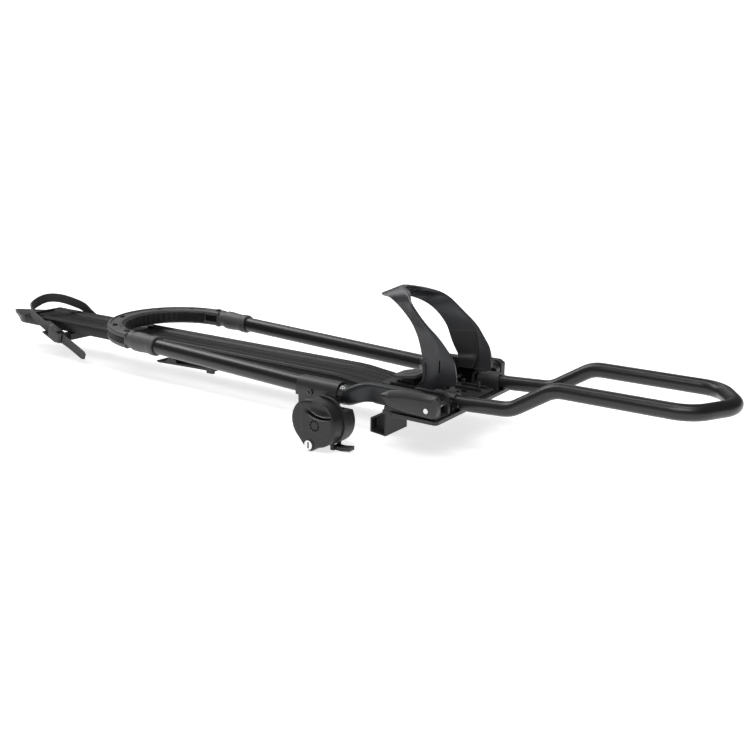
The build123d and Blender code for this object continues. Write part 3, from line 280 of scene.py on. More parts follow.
# %% Dust on what faces up
dust, dust_in, dust_out = new_group(
    "settled_dust",
    [("Place", vector_kind, None), ("Colour", colour_kind, None), ("Amount", value_kind, 0.1)],
    [("Colour", colour_kind)],
)
facing = dust.nodes.new("ShaderNodeNewGeometry")
height_part = dust.nodes.new("ShaderNodeSeparateXYZ")
dust.links.new(facing.outputs["Normal"], height_part.inputs[0])
upward = math_node(dust, "MAXIMUM", height_part.outputs["Z"], 0.0)
clouds = noise(dust, dust_in.outputs["Place"], 35.0, 5.0)
film = math_node(dust, "MULTIPLY", math_node(dust, "MULTIPLY", upward, clouds),
                 dust_in.outputs["Amount"])
dust_tone = dust.nodes.new("ShaderNodeRGB")
dust_tone.outputs[0].default_value = (0.30, 0.30, 0.29, 1)
dust.links.new(mix_colour(dust, film, dust_in.outputs["Colour"], dust_tone.outputs[0]),
               dust_out.inputs["Colour"])
print("groups:", [group.name for group in bpy.data.node_groups])

# %% [markdown]
# ## Materials
# All the mouldings, coats and rubbers are near black. What tells them apart is their
# gloss, their grain and how pale their edges are, from wear and painted highlight, so one
# maker takes those numbers.


# %% A maker of finishes
def grey(level):
    """A neutral colour with alpha."""
    return (level, level, level * 1.01, 1)


finishes = {}
edge_reach, grain_height = 0.0008, 0.0002


def finish(name, dark, pale, smooth, rough, scale, bump, edge_wear_and_highlight=0.3, edge_tone=0.10, metal=0.0,
           dusty=0.025, gloss=0.5):
    """One material from grain, paler edges (partly wear, partly painted highlight) and dust, all
    read in object coordinates.

    Its colour wanders from dark to pale and its roughness from smooth to rough.
    """
    material = bpy.data.materials.new(name)
    material.use_nodes = True
    tree = material.node_tree
    shader = tree.nodes["Principled BSDF"]
    place = tree.nodes.new("ShaderNodeTexCoord").outputs["Object"]
    grained = tree.nodes.new("ShaderNodeGroup")
    grained.node_tree = grain
    grained.inputs["Scale"].default_value = scale
    grained.inputs["Dark"].default_value = dark if isinstance(dark, tuple) else grey(dark)
    grained.inputs["Pale"].default_value = pale if isinstance(pale, tuple) else grey(pale)
    grained.inputs["Smooth"].default_value = smooth
    grained.inputs["Rough"].default_value = rough
    edged = tree.nodes.new("ShaderNodeGroup")
    edged.node_tree = pale_edges
    edged.inputs["Pale"].default_value = grey(edge_tone)
    edged.inputs["Reach"].default_value = edge_reach
    edged.inputs["Amount"].default_value = edge_wear_and_highlight
    dusted = tree.nodes.new("ShaderNodeGroup")
    dusted.node_tree = dust
    dusted.inputs["Amount"].default_value = dusty
    for group_node in (grained, edged, dusted):
        tree.links.new(place, group_node.inputs["Place"])
    tree.links.new(grained.outputs["Colour"], edged.inputs["Colour"])
    tree.links.new(edged.outputs["Colour"], dusted.inputs["Colour"])
    tree.links.new(dusted.outputs["Colour"], shader.inputs["Base Color"])
    tree.links.new(grained.outputs["Roughness"], shader.inputs["Roughness"])
    relief = tree.nodes.new("ShaderNodeBump")
    relief.inputs["Strength"].default_value = bump
    relief.inputs["Distance"].default_value = grain_height
    tree.links.new(grained.outputs["Height"], relief.inputs["Height"])
    tree.links.new(relief.outputs["Normal"], shader.inputs["Normal"])
    shader.inputs["Metallic"].default_value = metal
    shader.inputs["Specular IOR Level"].default_value = gloss
    finishes[name] = material


# %% The finishes of this carrier
finish("black_tube", 0.010, 0.016, 0.27, 0.36, 1400, 0.25, edge_wear_and_highlight=0.15)
finish("black_plastic", 0.016, 0.026, 0.40, 0.55, 1100, 0.45, edge_wear_and_highlight=0.35)
finish("black_plate", 0.008, 0.014, 0.30, 0.42, 1500, 0.25, edge_wear_and_highlight=0.45)
finish("grey_casting", 0.070, 0.092, 0.42, 0.56, 1300, 0.40, edge_wear_and_highlight=0.3, edge_tone=0.2)
finish("black_rubber", 0.010, 0.018, 0.55, 0.75, 900, 0.55, edge_wear_and_highlight=0.15)
finish("arch_plastic", (0.028, 0.029, 0.033, 1), (0.044, 0.045, 0.050, 1), 0.26, 0.38, 900, 0.30)
finish("bright_steel", 0.55, 0.68, 0.22, 0.34, 700, 0.10, edge_wear_and_highlight=0.2, edge_tone=0.8, metal=1.0)
finish("dark_steel", 0.030, 0.055, 0.30, 0.45, 900, 0.25, edge_wear_and_highlight=0.6, edge_tone=0.3, metal=0.9)
finish("tray_metal", 0.008, 0.010, 0.40, 0.41, 1800, 0.02, edge_wear_and_highlight=0.35, dusty=0.0, gloss=0.22)
finish("lever_plastic", 0.018, 0.028, 0.36, 0.50, 1000, 0.45, edge_wear_and_highlight=0.25)
finish("arm_metal", (0.011, 0.012, 0.014, 1), (0.018, 0.019, 0.022, 1), 0.30, 0.44, 700, 0.45)
# ring_metal: the pale end of its mottling and its strongly paled edges are painted glints on the
# teeth.
finish("ring_metal", 0.08, 0.28, 0.18, 0.36, 800, 0.35, edge_wear_and_highlight=1.2, edge_tone=0.7, metal=0.95)
finish("saddle_plastic", 0.022, 0.034, 0.36, 0.50, 800, 0.55, edge_wear_and_highlight=0.25)
finish("dial_plastic", 0.013, 0.021, 0.36, 0.48, 900, 0.50, edge_wear_and_highlight=0.5, edge_tone=0.14, gloss=0.4)
finish("lock_chrome", 0.60, 0.72, 0.10, 0.18, 500, 0.03, edge_wear_and_highlight=0.1, edge_tone=0.5, metal=1.0)
# deep_black is matte near black: the dial's dots, and painted shade in the arch's pockets and feet,
# the crescent's floor and the key's slot.
finish("deep_black", 0.0015, 0.003, 0.75, 0.90, 900, 0.10, edge_wear_and_highlight=0.0, dusty=0.0, gloss=0.05)
finish("inlay_black", 0.006, 0.010, 0.48, 0.60, 900, 0.20, edge_wear_and_highlight=0.1, dusty=0.0, gloss=0.15)
# rim_plastic is pale for the painted highlights along the dial's crescent groove.
finish("rim_plastic", 0.16, 0.22, 0.30, 0.40, 900, 0.20, edge_wear_and_highlight=0.2, edge_tone=0.30)
finish("strap_plastic", 0.030, 0.044, 0.50, 0.65, 900, 0.45, edge_wear_and_highlight=0.35)
for name, piece in nodes.items():
    piece.data.materials.clear()
    piece.data.materials.append(finishes[slot_of[name]])
print(len(finishes), "finishes on", len(nodes), "nodes")

# %% [markdown]
# ## Softened mouldings
# No moulding or pressed plate has a razor edge. The rounding could be modelled in CAD, but
# it is quicker to try widths here. A copy of the CAD mesh is merged, its flat faces are
# joined, and a Bevel modifier rounds what is still sharp. The copy stands for the CAD node
# and moves with the same body.


# %% Copies with rounded edges
def dress(piece, node, smooth_angle=35):
    """Links a piece, gives it its node's body and the finish of its node's slot, and shades it
    smooth.
    """
    bpy.context.scene.collection.objects.link(piece)
    piece.data.materials.clear()
    piece.data.materials.append(finishes[slot_of[node]])
    piece.data.shade_smooth()
    piece.data.set_sharp_from_angle(angle=math.radians(smooth_angle))
    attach(piece, body_of[node])
    return piece


def round_edges(piece, width, angle):
    """Rounds the edges that are sharper than an angle in degrees by a width in mm."""
    bevel = piece.modifiers.new("rounded", "BEVEL")
    bevel.width = width * mm
    bevel.segments = 2
    bevel.limit_method = "ANGLE"
    bevel.angle_limit = math.radians(angle)
    bevel.harden_normals = True


def softened(node, width):
    """A copy of a node whose sharp edges are rounded by a width in mm."""
    mesh = nodes[node].data.copy()
    mesh.name = node + "_soft"
    work = bmesh.new()
    work.from_mesh(mesh)
    bmesh.ops.remove_doubles(work, verts=work.verts, dist=2e-6)
    bmesh.ops.dissolve_limit(work, angle_limit=math.radians(0.6), verts=work.verts,
                             edges=work.edges)
    work.to_mesh(mesh)
    work.free()
    if "custom_normal" in mesh.attributes:
        mesh.attributes.remove(mesh.attributes["custom_normal"])
    piece = dress(bpy.data.objects.new(node + "_soft", mesh), node)
    round_edges(piece, width, 32)
    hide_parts(node)


softened_widths = {
    "base_plate": 0.8, "side_bracket_near": 0.7, "side_bracket_far": 0.7,
    "loop_sockets": 0.7, "tray_bracket": 0.6, "claw_near": 1.4, "claw_far": 1.4,
    "knob_saddle": 0.9, "drum_housing": 0.9, "strap_slider": 0.7, "strap_buckle": 0.6,
    "buckle_lever": 0.5, "rear_clamp_slider": 0.7, "rear_clamp_lever": 0.8, "release_tab": 0.8,
}
for node, width in softened_widths.items():
    softened(node, width)
print(len(softened_widths), "softened copies")

# %% [markdown]
# ## Skins over rings of points
# The smooth pieces are made as a boat's hull is drawn: a row of cross sections, each one a
# closed ring of points, and a skin stretched over them. NumPy moves all the points of a
# section at once, so a long tray or a strap with a hundred teeth costs a few lines.


# %% A skin, soft corners and smooth runs
def places(*parts):
    """Points whose coordinates are the given arrays or numbers, spread to a common shape."""
    return np.stack(np.broadcast_arrays(*parts), axis=-1)


def circle(count):
    """Angles spread evenly round a circle."""
    return np.linspace(0, 2 * np.pi, count + 1)[:-1]


def skin(name, rings, node, closed=False, soft=0.0, stands=True, smooth_angle=38):
    """A closed piece over rings of points in mm.

    Point j of ring i is joined to point j + 1 of the same ring and to point j of the next
    ring. The ends are closed by one flat face each, unless the last ring meets the first.
    The faces are turned round if the volume, the sum of a . (b x c) / 6, is negative.
    """
    rings = np.asarray(rings, float)
    points = rings.reshape(-1, 3) * mm
    at = np.arange(len(points)).reshape(rings.shape[:2])
    if closed:
        at = np.vstack([at, at[:1]])
    beside = np.roll(at, -1, axis=1)
    quads = np.stack([at[:-1], beside[:-1], beside[1:], at[1:]], axis=-1).reshape(-1, 4)
    ends = [] if closed else [at[0][::-1], at[-1]]
    a, b, c, d = (points[quads[:, corner]] - points.mean(axis=0) for corner in range(4))
    if np.sum(a * np.cross(b, c)) + np.sum(a * np.cross(c, d)) < 0:
        quads, ends = quads[:, ::-1], [end[::-1] for end in ends]
    mesh = bpy.data.meshes.new(name)
    mesh.from_pydata(points.tolist(), [], quads.tolist() + [end.tolist() for end in ends])
    piece = dress(bpy.data.objects.new(name, mesh), node, smooth_angle)
    if soft:
        round_edges(piece, soft, smooth_angle)
    if stands:
        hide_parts(node)
    return piece


def soft_ring(corners, radii, steps=4):
    """Rings whose corners are bent instead of sharp.

    Each corner P is left by (1 - t)^2 S + 2 t (1 - t) P + t^2 E, where S and E lie on the
    two sides that meet in P, a radius away from it.
    """
    corners = np.asarray(corners, float)
    radii = np.broadcast_to(radii, corners.shape[:-1])[..., None]
    before = np.roll(corners, 1, axis=-2) - corners
    after = np.roll(corners, -1, axis=-2) - corners
    start = corners + before / np.linalg.norm(before, axis=-1, keepdims=True) * radii
    end = corners + after / np.linalg.norm(after, axis=-1, keepdims=True) * radii
    t = np.linspace(0, 1, steps)[:, None]
    bent = ((1 - t) ** 2 * start[..., None, :] + 2 * t * (1 - t) * corners[..., None, :]
            + t ** 2 * end[..., None, :])
    return bent.reshape(*corners.shape[:-2], -1, corners.shape[-1])


def smooth_run(stops, count):
    """Places spread evenly along a smooth curve through all the stops (Catmull-Rom).

    Between the stops B and C, with A before and D after, the curve is
    (2B + (C - A) f + (2A - 5B + 4C - D) f^2 + (3B - A - 3C + D) f^3) / 2.
    """
    stops = np.asarray(stops, float)
    reach = np.linalg.norm(np.diff(stops.reshape(len(stops), -1), axis=0), axis=1)
    reach = np.concatenate([[0], np.cumsum(reach)])
    t = np.interp(np.linspace(0, reach[-1], count), reach, np.arange(len(stops)))
    first = np.minimum(t.astype(int), len(stops) - 2)
    f = (t - first).reshape(-1, *[1] * (stops.ndim - 1))
    padded = np.concatenate([[2 * stops[0] - stops[1]], stops, [2 * stops[-1] - stops[-2]]])
    a, b, c, d = (padded[first + step] for step in range(4))
    return (2 * b + (c - a) * f + (2 * a - 5 * b + 4 * c - d) * f ** 2
            + (3 * b - a - 3 * c + d) * f ** 3) / 2


def blurred(rows, taps):
    """Rows of numbers, each averaged with its neighbours under a Hann window.

    The rows go on past both ends by their own image, turned about the last row, so that the
    ends stay where they are.
    """
    window, half = np.hanning(taps + 2)[1:-1], taps // 2
    flat = rows.reshape(len(rows), -1)
    held = np.concatenate([2 * flat[:1] - flat[half:0:-1], flat,
                           2 * flat[-1:] - flat[-2:-half - 2:-1]])
    columns = [np.convolve(column, window / window.sum(), "valid") for column in held.T]
    return np.stack(columns, axis=-1).reshape(rows.shape)


def ease(value):
    """A soft step from 0 to 1: 3v^2 - 2v^3 with v held between 0 and 1."""
    value = np.clip(value, 0, 1)
    return value * value * (3 - 2 * value)


print("helpers for skins are ready")

# %% [markdown]
# ## Wheel tray
# On the real carrier the tray is one long aluminium extrusion. Its profile is drawn once,
# with a dished middle, fine grooves and a channel below, and carried along a line that
# drops gently near the front. A curve with a bevel profile could do the same, but here
# each ring is turned to stand square to the line, so the wall keeps its thickness.

# %% The tray
tray_half, tray_top, tray_low = 45.0, 17.0, -1.0
tray_right = [
    (31, tray_low), (tray_half, tray_low), (tray_half, tray_top), (38.0, tray_top), (36.2, 15.4),
    (32.6, 15.4), (30.8, tray_top), (27.2, tray_top), (22.8, 13.5), (14.5, 13.5), (13.0, 12.9),
    (10.0, 12.9), (8.5, 13.5),
]
tray_bends = [0.4, 1.6, 2.2] + [1.1] * 4 + [1.7, 2.4] + [0.7] * 4
tray_outer = tray_right + [(-y, z) for y, z in tray_right[::-1]]
tray_inner = [(-31, 1.5), (-42.5, 1.5), (-42.5, 11), (42.5, 11), (42.5, 1.5), (31, 1.5)]
tray_ring = soft_ring(tray_outer + tray_inner, tray_bends + tray_bends[::-1] + [0.4] * 6, 3)
tray_rear, tray_front, flat_steps = -945, -44, 24
drop, drop_start, drop_end, drop_radius = 8.3, -170.0, -95.0, 260.0
drop_angle = math.atan(drop / (drop_end - drop_start))
lead = drop_radius * math.tan(drop_angle / 2)
bend_angles = np.linspace(0, drop_angle, 9)
line_x = np.concatenate([
    np.linspace(tray_rear, -230, flat_steps),
    drop_start - lead + drop_radius * np.sin(bend_angles),
    drop_end + lead - drop_radius * np.sin(bend_angles[::-1]), [-60, tray_front]])
line_z = np.concatenate([
    np.zeros(flat_steps), drop_radius * (np.cos(bend_angles) - 1),
    -drop + drop_radius * (1 - np.cos(bend_angles[::-1])), [-drop, -drop]])
line_slope = np.concatenate([np.zeros(flat_steps), bend_angles, bend_angles[::-1], [0, 0]])
across, up = tray_ring[None, :, 0], tray_ring[None, :, 1]
tray_rings = places(line_x[:, None] + up * np.sin(line_slope)[:, None], across,
                    line_z[:, None] + up * np.cos(line_slope)[:, None])
skin("tray_skin", tray_rings, "tray", smooth_angle=30)
print("tray:", tray_rings.shape[:2], "rings and points")

# %% [markdown]
# ## End cap
# The tray ends in a moulded beak: a sleeve that slopes down to a thin spoon with a rim. It
# could be pulled out of a box by hand, but a table of its cross sections is easier to set
# against the photograph, one number at a time.

# %% The end cap
cap_stops = np.array([
    # x, half width, top, underside, dish
    (-944.9, 45.0, 17.0, -1.0, 0.05), (-950, 45.0, 16.9, -1.0, 0.05),
    (-957, 44.2, 15.6, -1.0, 0.1), (-964, 41.5, 12.6, -1.0, 0.4), (-972, 37.5, 10.6, -1.0, 1.6),
    (-982, 31.5, 10.1, -0.7, 2.8), (-995, 24.2, 10.0, 0.0, 3.0), (-1008, 17.5, 10.0, 0.7, 2.9),
    (-1020, 11.6, 10.0, 1.4, 2.6), (-1030, 7.0, 9.9, 2.4, 2.0), (-1037, 3.9, 9.7, 3.8, 1.2),
    (-1040.6, 1.6, 9.3, 5.0, 0.5)])
cap_rows = smooth_run(cap_stops, 40)
x, half, top, low, dish = (cap_rows[:, column] for column in range(5))
rim = np.minimum(3.2, half * 0.3)
cap_corners = np.stack([places(y, z) for y, z in (
    (half, low), (half, top), (half - rim, top), (half - rim * 1.7, top - dish),
    (-half + rim * 1.7, top - dish), (-half + rim, top), (-half, top), (-half, low))], axis=1)
cap_bends = np.minimum(half[:, None] * 0.12, np.array([1.6, 1.0, 0.4, 0.5, 0.5, 0.4, 1.0, 1.6]))
cap_flat = soft_ring(cap_corners, cap_bends, 4)
cap_rings = places(x[:, None], cap_flat[..., 0], cap_flat[..., 1])
skin("tray_end_cap_skin", cap_rings, "tray_end_cap", soft=0.3, smooth_angle=44)
print("end cap from", cap_stops[0, 0], "to", cap_stops[-1, 0])

# %% [markdown]
# ## Wheel arch
# The arch is one bent moulding. Its legs are wide and folded to the front, its top is
# narrow and leans to the rear. The CAD stations are joined by a smooth run here, the fold
# gets a soft bend, and a thickness is taken off along the surface's own normal.

# %% The arch
arch_front, arch_reach, arch_half = 55.0, 170.0, 58.0
arch_base, arch_height, arch_thick = 9.0, 149.6, 4.0
arch_shares = np.array([
    # shares of reach, half width and height: at the rear edge, the fold and the front edge
    ((0.47, 1.0, 0.0), (0.28, 1.0, 0.0), (0.20, 0.94, 0.0)),
    ((0.45, 1.0, 0.08), (0.27, 1.0, 0.08), (0.20, 0.94, 0.08)),
    ((0.37, 0.99, 0.165), (0.25, 1.0, 0.165), (0.19, 0.94, 0.165)),
    ((0.34, 0.985, 0.19), (0.22, 1.0, 0.175), (0.02, 0.92, 0.172)),
    ((0.33, 0.98, 0.23), (0.20, 1.0, 0.22), (0.02, 0.92, 0.215)),
    ((0.345, 0.91, 0.30), (0.195, 1.0, 0.29), (0.03, 0.92, 0.28)),
    ((0.37, 0.835, 0.37), (0.19, 1.0, 0.38), (0.045, 0.92, 0.40)),
    ((0.395, 0.775, 0.425), (0.19, 1.0, 0.45), (0.07, 0.92, 0.455)),
    ((0.425, 0.735, 0.525), (0.20, 1.0, 0.53), (0.13, 0.93, 0.53)),
    ((0.455, 0.735, 0.61), (0.225, 0.99, 0.615), (0.188, 0.975, 0.62)),
    ((0.52, 0.67, 0.705), (0.35, 0.975, 0.74), (0.33, 0.965, 0.745)),
    ((0.60, 0.62, 0.785), (0.485, 0.89, 0.875), (0.465, 0.895, 0.88)),
    ((0.70, 0.52, 0.855), (0.555, 0.68, 0.945), (0.535, 0.67, 0.945)),
    ((0.86, 0.31, 0.915), (0.66, 0.35, 0.995), (0.615, 0.34, 0.985)),
    ((1.0, 0.0, 0.905), (0.78, 0.0, 1.02), (0.745, 0.0, 1.0))])
near_leg = arch_shares * (-arch_reach, -arch_half, arch_height) + (arch_front, 0, arch_base)
far_leg = near_leg[-2::-1] * (1, -1, 1)
arch_steps = 240
arch_run = blurred(smooth_run(np.concatenate([near_leg, far_leg]), arch_steps), 21)
rear_edge, fold_line, front_edge = arch_run[:, 0], arch_run[:, 1], arch_run[:, 2]
bend, fold_share = np.linspace(0, 1, 7)[None, :, None], 0.22
fold_start = fold_line + (rear_edge - fold_line) * fold_share
fold_end = fold_line + (front_edge - fold_line) * fold_share
soft_fold = ((1 - bend) ** 2 * fold_start[:, None] + 2 * bend * (1 - bend) * fold_line[:, None]
             + bend ** 2 * fold_end[:, None])
span = np.linspace(0, 1, 5)[None, :-1, None]
flank = rear_edge[:, None] + (fold_start - rear_edge)[:, None] * span
flange_span = np.linspace(0, 1, 5)[None, 1:, None]
flange = fold_end[:, None] + (front_edge - fold_end)[:, None] * flange_span
arch_outer = np.concatenate([flank, soft_fold, flange], axis=1)
along = np.gradient(arch_outer, axis=0)
square = np.cross(along, np.gradient(arch_outer, axis=1))
square /= np.linalg.norm(square, axis=-1, keepdims=True)
arch_centre = np.array([arch_front - arch_reach * 0.45, 0, arch_base])
inward = np.sign(np.sum(square * (arch_centre - arch_outer), axis=-1, keepdims=True).sum((0, 1)))
arch_inner = arch_outer + square * inward * arch_thick
arch_rings = np.concatenate([arch_outer, arch_inner[:, ::-1]], axis=1)
skin("wheel_arch_skin", arch_rings, "wheel_arch", soft=0.9, smooth_angle=50)
print("arch:", arch_rings.shape[:2], "rings and points")

# %% [markdown]
# ## Pads, ribs and recesses on the arch
# The real arch has a thick cheek pad inside each leg, where the tyre is held, ribs under
# its top, a fin along its rear edge and small pockets. Each could be cut out of the arch,
# but a thin slab on the arch's own points follows its bends by itself. A pocket is a dark
# slab of painted shade, because from outside a deep pocket is seen only as a dark patch. The
# foot of each leg gets a dark slab of painted shade on its inner side too.


# %% Slabs on the arch
def leg_rows(side, low, high):
    """Rows of the leg on one side whose fold lies between two heights in mm."""
    height = fold_line[:, 2]
    return np.flatnonzero((fold_line[:, 1] * side > 0) & (height > low) & (height < high))


def arch_slab(name, rows, columns, lift, inside, finish_name):
    """A slab on part of the arch: surface points, and the same ones lifted along the normal.

    Columns 0 to 3 are the flank, 4 to 10 the fold and 11 to 14 the flange.
    """
    base = (arch_inner if inside else arch_outer)[np.ix_(rows, columns)]
    away = square[np.ix_(rows, columns)] * inward * (1 if inside else -1)
    lifted = base + away * np.broadcast_to(lift, len(rows))[:, None, None]
    rings = np.concatenate([base - away * 0.4, lifted[:, ::-1]], axis=1)
    slab = skin(name, rings, "wheel_arch", soft=0.25, stands=False, smooth_angle=50)
    slab.data.materials[0] = finishes[finish_name]


pad_low, pad_high, top_row, rib_count = 37.0, 95.0, arch_steps // 2 - 1, 3
for name, side in sides.items():
    pad_rows = leg_rows(side, pad_low, pad_high)
    down = (pad_high - fold_line[pad_rows, 2]) / (pad_high - pad_low)
    pad_lift = 0.6 + 1.8 * down + 4.2 * ease((down - 0.60) / 0.14)
    arch_slab("arch_pad_" + name, pad_rows, np.arange(0, 10), pad_lift, True, "black_plastic")
    # Inside each leg's foot, a matte black slab of painted shade.
    foot_rows = leg_rows(side, 13, pad_low - 2)
    arch_slab("arch_foot_shade_" + name, foot_rows, np.arange(0, 14), 0.4, True, "deep_black")
    fin_rows = leg_rows(side, 33, 65)
    arch_slab("arch_fin_" + name, fin_rows, np.arange(0, 2), 1.6, False, "arch_plastic")
    # A recess is a thin dark slab of painted shade on the fold.
    mark_rows = leg_rows(side, 52, 72)
    arch_slab("arch_recess_" + name, mark_rows, np.arange(8, 10), 0.3, False, "deep_black")
    for step in range(rib_count):
        rib_rows = top_row + side * (9 + 4 * step) + np.arange(0, 2)
        arch_slab("arch_rib_%s_%d" % (name, step), rib_rows, np.arange(2, 13), 1.2, True,
                  "arch_plastic")
# The inlays in this count are the slabs of painted shade at the legs' feet.
print("pads, inlays, fins, recesses and", 2 * rib_count, "ribs on the arch")

# %% [markdown]
# ## Wheel rest
# Between the arch's legs a small grey plate on a block carries the tyre. It is a slab along
# a gently rising line, with a low round disc on it. Two boxes would do for a start, but a
# line and a half width are as short to write, and they give the plate its slope and taper.

# %% A rest for the wheel between the arch's legs
rest_steps = 24
rest_line = smooth_run([(-80, 26.5), (-70, 28.0), (-50, 31.0), (-36, 33.0)], rest_steps)
rest_along = np.gradient(rest_line, axis=0)
rest_up = places(-rest_along[:, 1], rest_along[:, 0])
rest_up /= np.linalg.norm(rest_up, axis=1, keepdims=True)
rest_half = np.interp(rest_line[:, 0], (-80, -76, -68, -42, -36), (13, 19, 23, 24, 20))


def on_the_rest(row, y, lift):
    """Places over a row of the rest's line, y to the side and lifted along its normal."""
    x, z = rest_line[row].T[..., None] + rest_up[row].T[..., None] * lift
    return places(x, y, z)


rest_y = rest_half[:, None] * np.array([1, 1, -1, -1])
rest_rings = on_the_rest(np.arange(rest_steps), rest_y, np.array([-5.0, 0.0, 0.0, -5.0]))
wheel_rest = skin("wheel_rest", rest_rings, "wheel_arch", soft=0.6, stands=False)
disc_turn = circle(32)
disc_place, disc_up = rest_line[rest_steps // 2], rest_up[rest_steps // 2]
disc_rings = [places(
    disc_place[0] + disc_up[1] * radius * np.cos(disc_turn) + disc_up[0] * lift,
    radius * np.sin(disc_turn),
    disc_place[1] - disc_up[0] * radius * np.cos(disc_turn) + disc_up[1] * lift)
    for radius, lift in ((13.0, -0.5), (13.0, 0.8), (12.4, 1.2), (9.5, 1.2), (9.0, 0.4))]
rest_disc = skin("wheel_rest_disc", disc_rings, "wheel_arch", stands=False)
block_corners = np.array([(-64, -17), (-41, -17), (-41, 17), (-64, 17)])
block_low, block_high, block_slope = 8.8, 29.0, 0.15
block_tops = block_high + (block_corners[:, 0] + 50) * block_slope
block_rings = [places(*block_corners.T, height) for height in (block_low, block_tops)]
skin("wheel_rest_block", block_rings, "base_plate", soft=0.6, stands=False)
for piece in (wheel_rest, rest_disc):
    piece.data.materials[0] = finishes["grey_casting"]
print("wheel rest of", rest_rings.shape[:2], "rings and points")

# %% [markdown]
# ## Rear wheel strap
# The strap is a flexible plastic band with ratchet teeth. It is swept on edge along the
# CAD route. A ring is placed every 0.4 mm or so, and the outer face rises and falls as a
# saw does. Teeth as separate wedges would leave seams, and these are part of the band.

# %% The strap
strap_shares = np.array([
    (-0.10, 0.96, -0.254), (0.02, 1.03, -0.085), (0.127, 1.02, 0.114), (0.303, 1.02, 0.31),
    (0.488, 1.0, 0.55), (0.672, 0.72, 0.76), (0.78, 0.51, 0.877), (0.899, 0.255, 0.953),
    (0.97, 0.0, 0.962), (1.0, -0.213, 0.928), (1.0, -0.596, 0.803), (0.898, -0.985, 0.67),
    (0.748, -1.064, 0.378), (0.517, -1.149, 0.243), (0.36, -1.19, 0.137), (-0.18, -1.19, -0.317)])
strap_line = strap_shares * (-100.2, 47.0, 47.3) + (-830, 0, 0)
strap_tail = strap_line[-1] + np.array([(21.0, 0, -7.5), (60.0, 0, -25.0)])
strap_steps = 900
strap_path = blurred(smooth_run(np.concatenate([strap_line, strap_tail]), strap_steps), 71)
strap_along = np.gradient(strap_path, axis=0)
strap_along /= np.linalg.norm(strap_along, axis=1, keepdims=True)
strap_level = np.cross((0, 0, 1), strap_along)
strap_level /= np.linalg.norm(strap_level, axis=1, keepdims=True)
strap_rise = np.cross(strap_along, strap_level)
strap_reach = np.concatenate([[0], np.cumsum(np.linalg.norm(np.diff(strap_path, axis=0), axis=1))])
tooth_pitch, tooth_depth, strap_half, strap_thin = 2.6, 0.5, 8.5, 1.3
tooth = (strap_reach / tooth_pitch) % 1 * tooth_depth
tooth *= ease((strap_reach - 14) / 3) * ease((strap_reach[-1] - 8 - strap_reach) / 3)
tip = ease((strap_reach[-1] - strap_reach) / 7) * 0.35 + 0.65
level_part = np.array([1, 1, 1, 1, -1, -1, -1, -1]) * strap_thin
rise_part = np.array([-1, -0.84, 0.84, 1, 1, 0.84, -0.84, -1]) * strap_half
strap_section = places(level_part, rise_part * tip[:, None])
halfway = strap_steps // 2
outward = strap_path[halfway] - strap_path.mean(axis=0)
outer_sign = np.sign(np.sum(strap_level[halfway] * outward))
toothed = [1, 2] if outer_sign > 0 else [5, 6]
strap_section[:, toothed, 0] -= np.sign(level_part[toothed]) * tooth[:, None]
strap_rings = (strap_path[:, None] + strap_level[:, None] * strap_section[..., :1]
               + strap_rise[:, None] * strap_section[..., 1:])
skin("wheel_strap_skin", strap_rings, "wheel_strap", smooth_angle=30)
print("strap length", round(float(strap_reach[-1])), "mm")

# %% [markdown]
# ## Hoop, its pad and the collars
# The hoop is a grey casting. Its section is a rounded square with a groove on top and a
# sunk flat on the sides of its arms. The rubber pad inside has blocks at the back and a
# fine comb at the arms. The collars are turned profiles on the tubes' axes. All of it could
# be bent from straight bars, but one function that goes round the hoop's axis by an angle
# serves the casting, its inlays and its pad alike. The real hoop is a flatter U with short
# straight arms, and this one is half a circle, as its CAD node is.

# %% The hoop
tube_fall, tube_side = 0.039, 110.7
slope = math.atan(tube_fall)
hoop_place = np.array([-553.0, 0.0, 31.36])
hoop_ahead = np.array([math.cos(slope), 0, -math.sin(slope)])
hoop_up = np.array([math.sin(slope), 0, math.cos(slope)])
sideways = np.array([0.0, 1.0, 0.0])


def round_the_hoop(angles, radial, rise):
    """Places at angles in degrees, distances from the hoop's axis and heights over its plane."""
    turn = np.radians(angles)[:, None, None]
    out = np.cos(turn) * hoop_ahead + np.sin(turn) * sideways
    return hoop_place + out * radial[..., None] + hoop_up * rise[..., None]


hoop_angles = np.linspace(90, 270, 241)
from_side = 90 - np.abs(hoop_angles - 180)
groove = 2.5 * ease((from_side - 20) / 2.5)
sunk = 1.6 * ease(from_side / 2) * ease((66 - from_side) / 5)
hoop_half, hoop_middle = 13.5, 110.5
hoop_corners = np.stack([places(u, w + 0 * hoop_angles) for u, w in [
    (hoop_half, -hoop_half), (hoop_half, -6.4), (hoop_half, -5.4), (hoop_half, 5.4),
    (hoop_half, 6.4), (hoop_half, hoop_half), (7.6, hoop_half), (6.8, hoop_half),
    (-6.8, hoop_half), (-7.6, hoop_half), (-hoop_half, hoop_half), (-hoop_half, 6.4),
    (-hoop_half, 5.4), (-hoop_half, -5.4), (-hoop_half, -6.4), (-hoop_half, -hoop_half)]], axis=1)
hoop_corners[:, [2, 3], 0] -= sunk[:, None]
hoop_corners[:, [12, 13], 0] += sunk[:, None]
hoop_corners[:, [7, 8], 1] -= groove[:, None]
hoop_bends = [6.0] + [0.35] * 4 + [5.2] + [0.3] * 4 + [5.2] + [0.35] * 4 + [6.0]
hoop_flat = soft_ring(hoop_corners, hoop_bends, 5)
hoop_rings = round_the_hoop(hoop_angles, hoop_middle + hoop_flat[..., 0], hoop_flat[..., 1])
skin("hoop_skin", hoop_rings, "hoop", smooth_angle=30)
print("hoop:", hoop_rings.shape[:2], "rings and points")

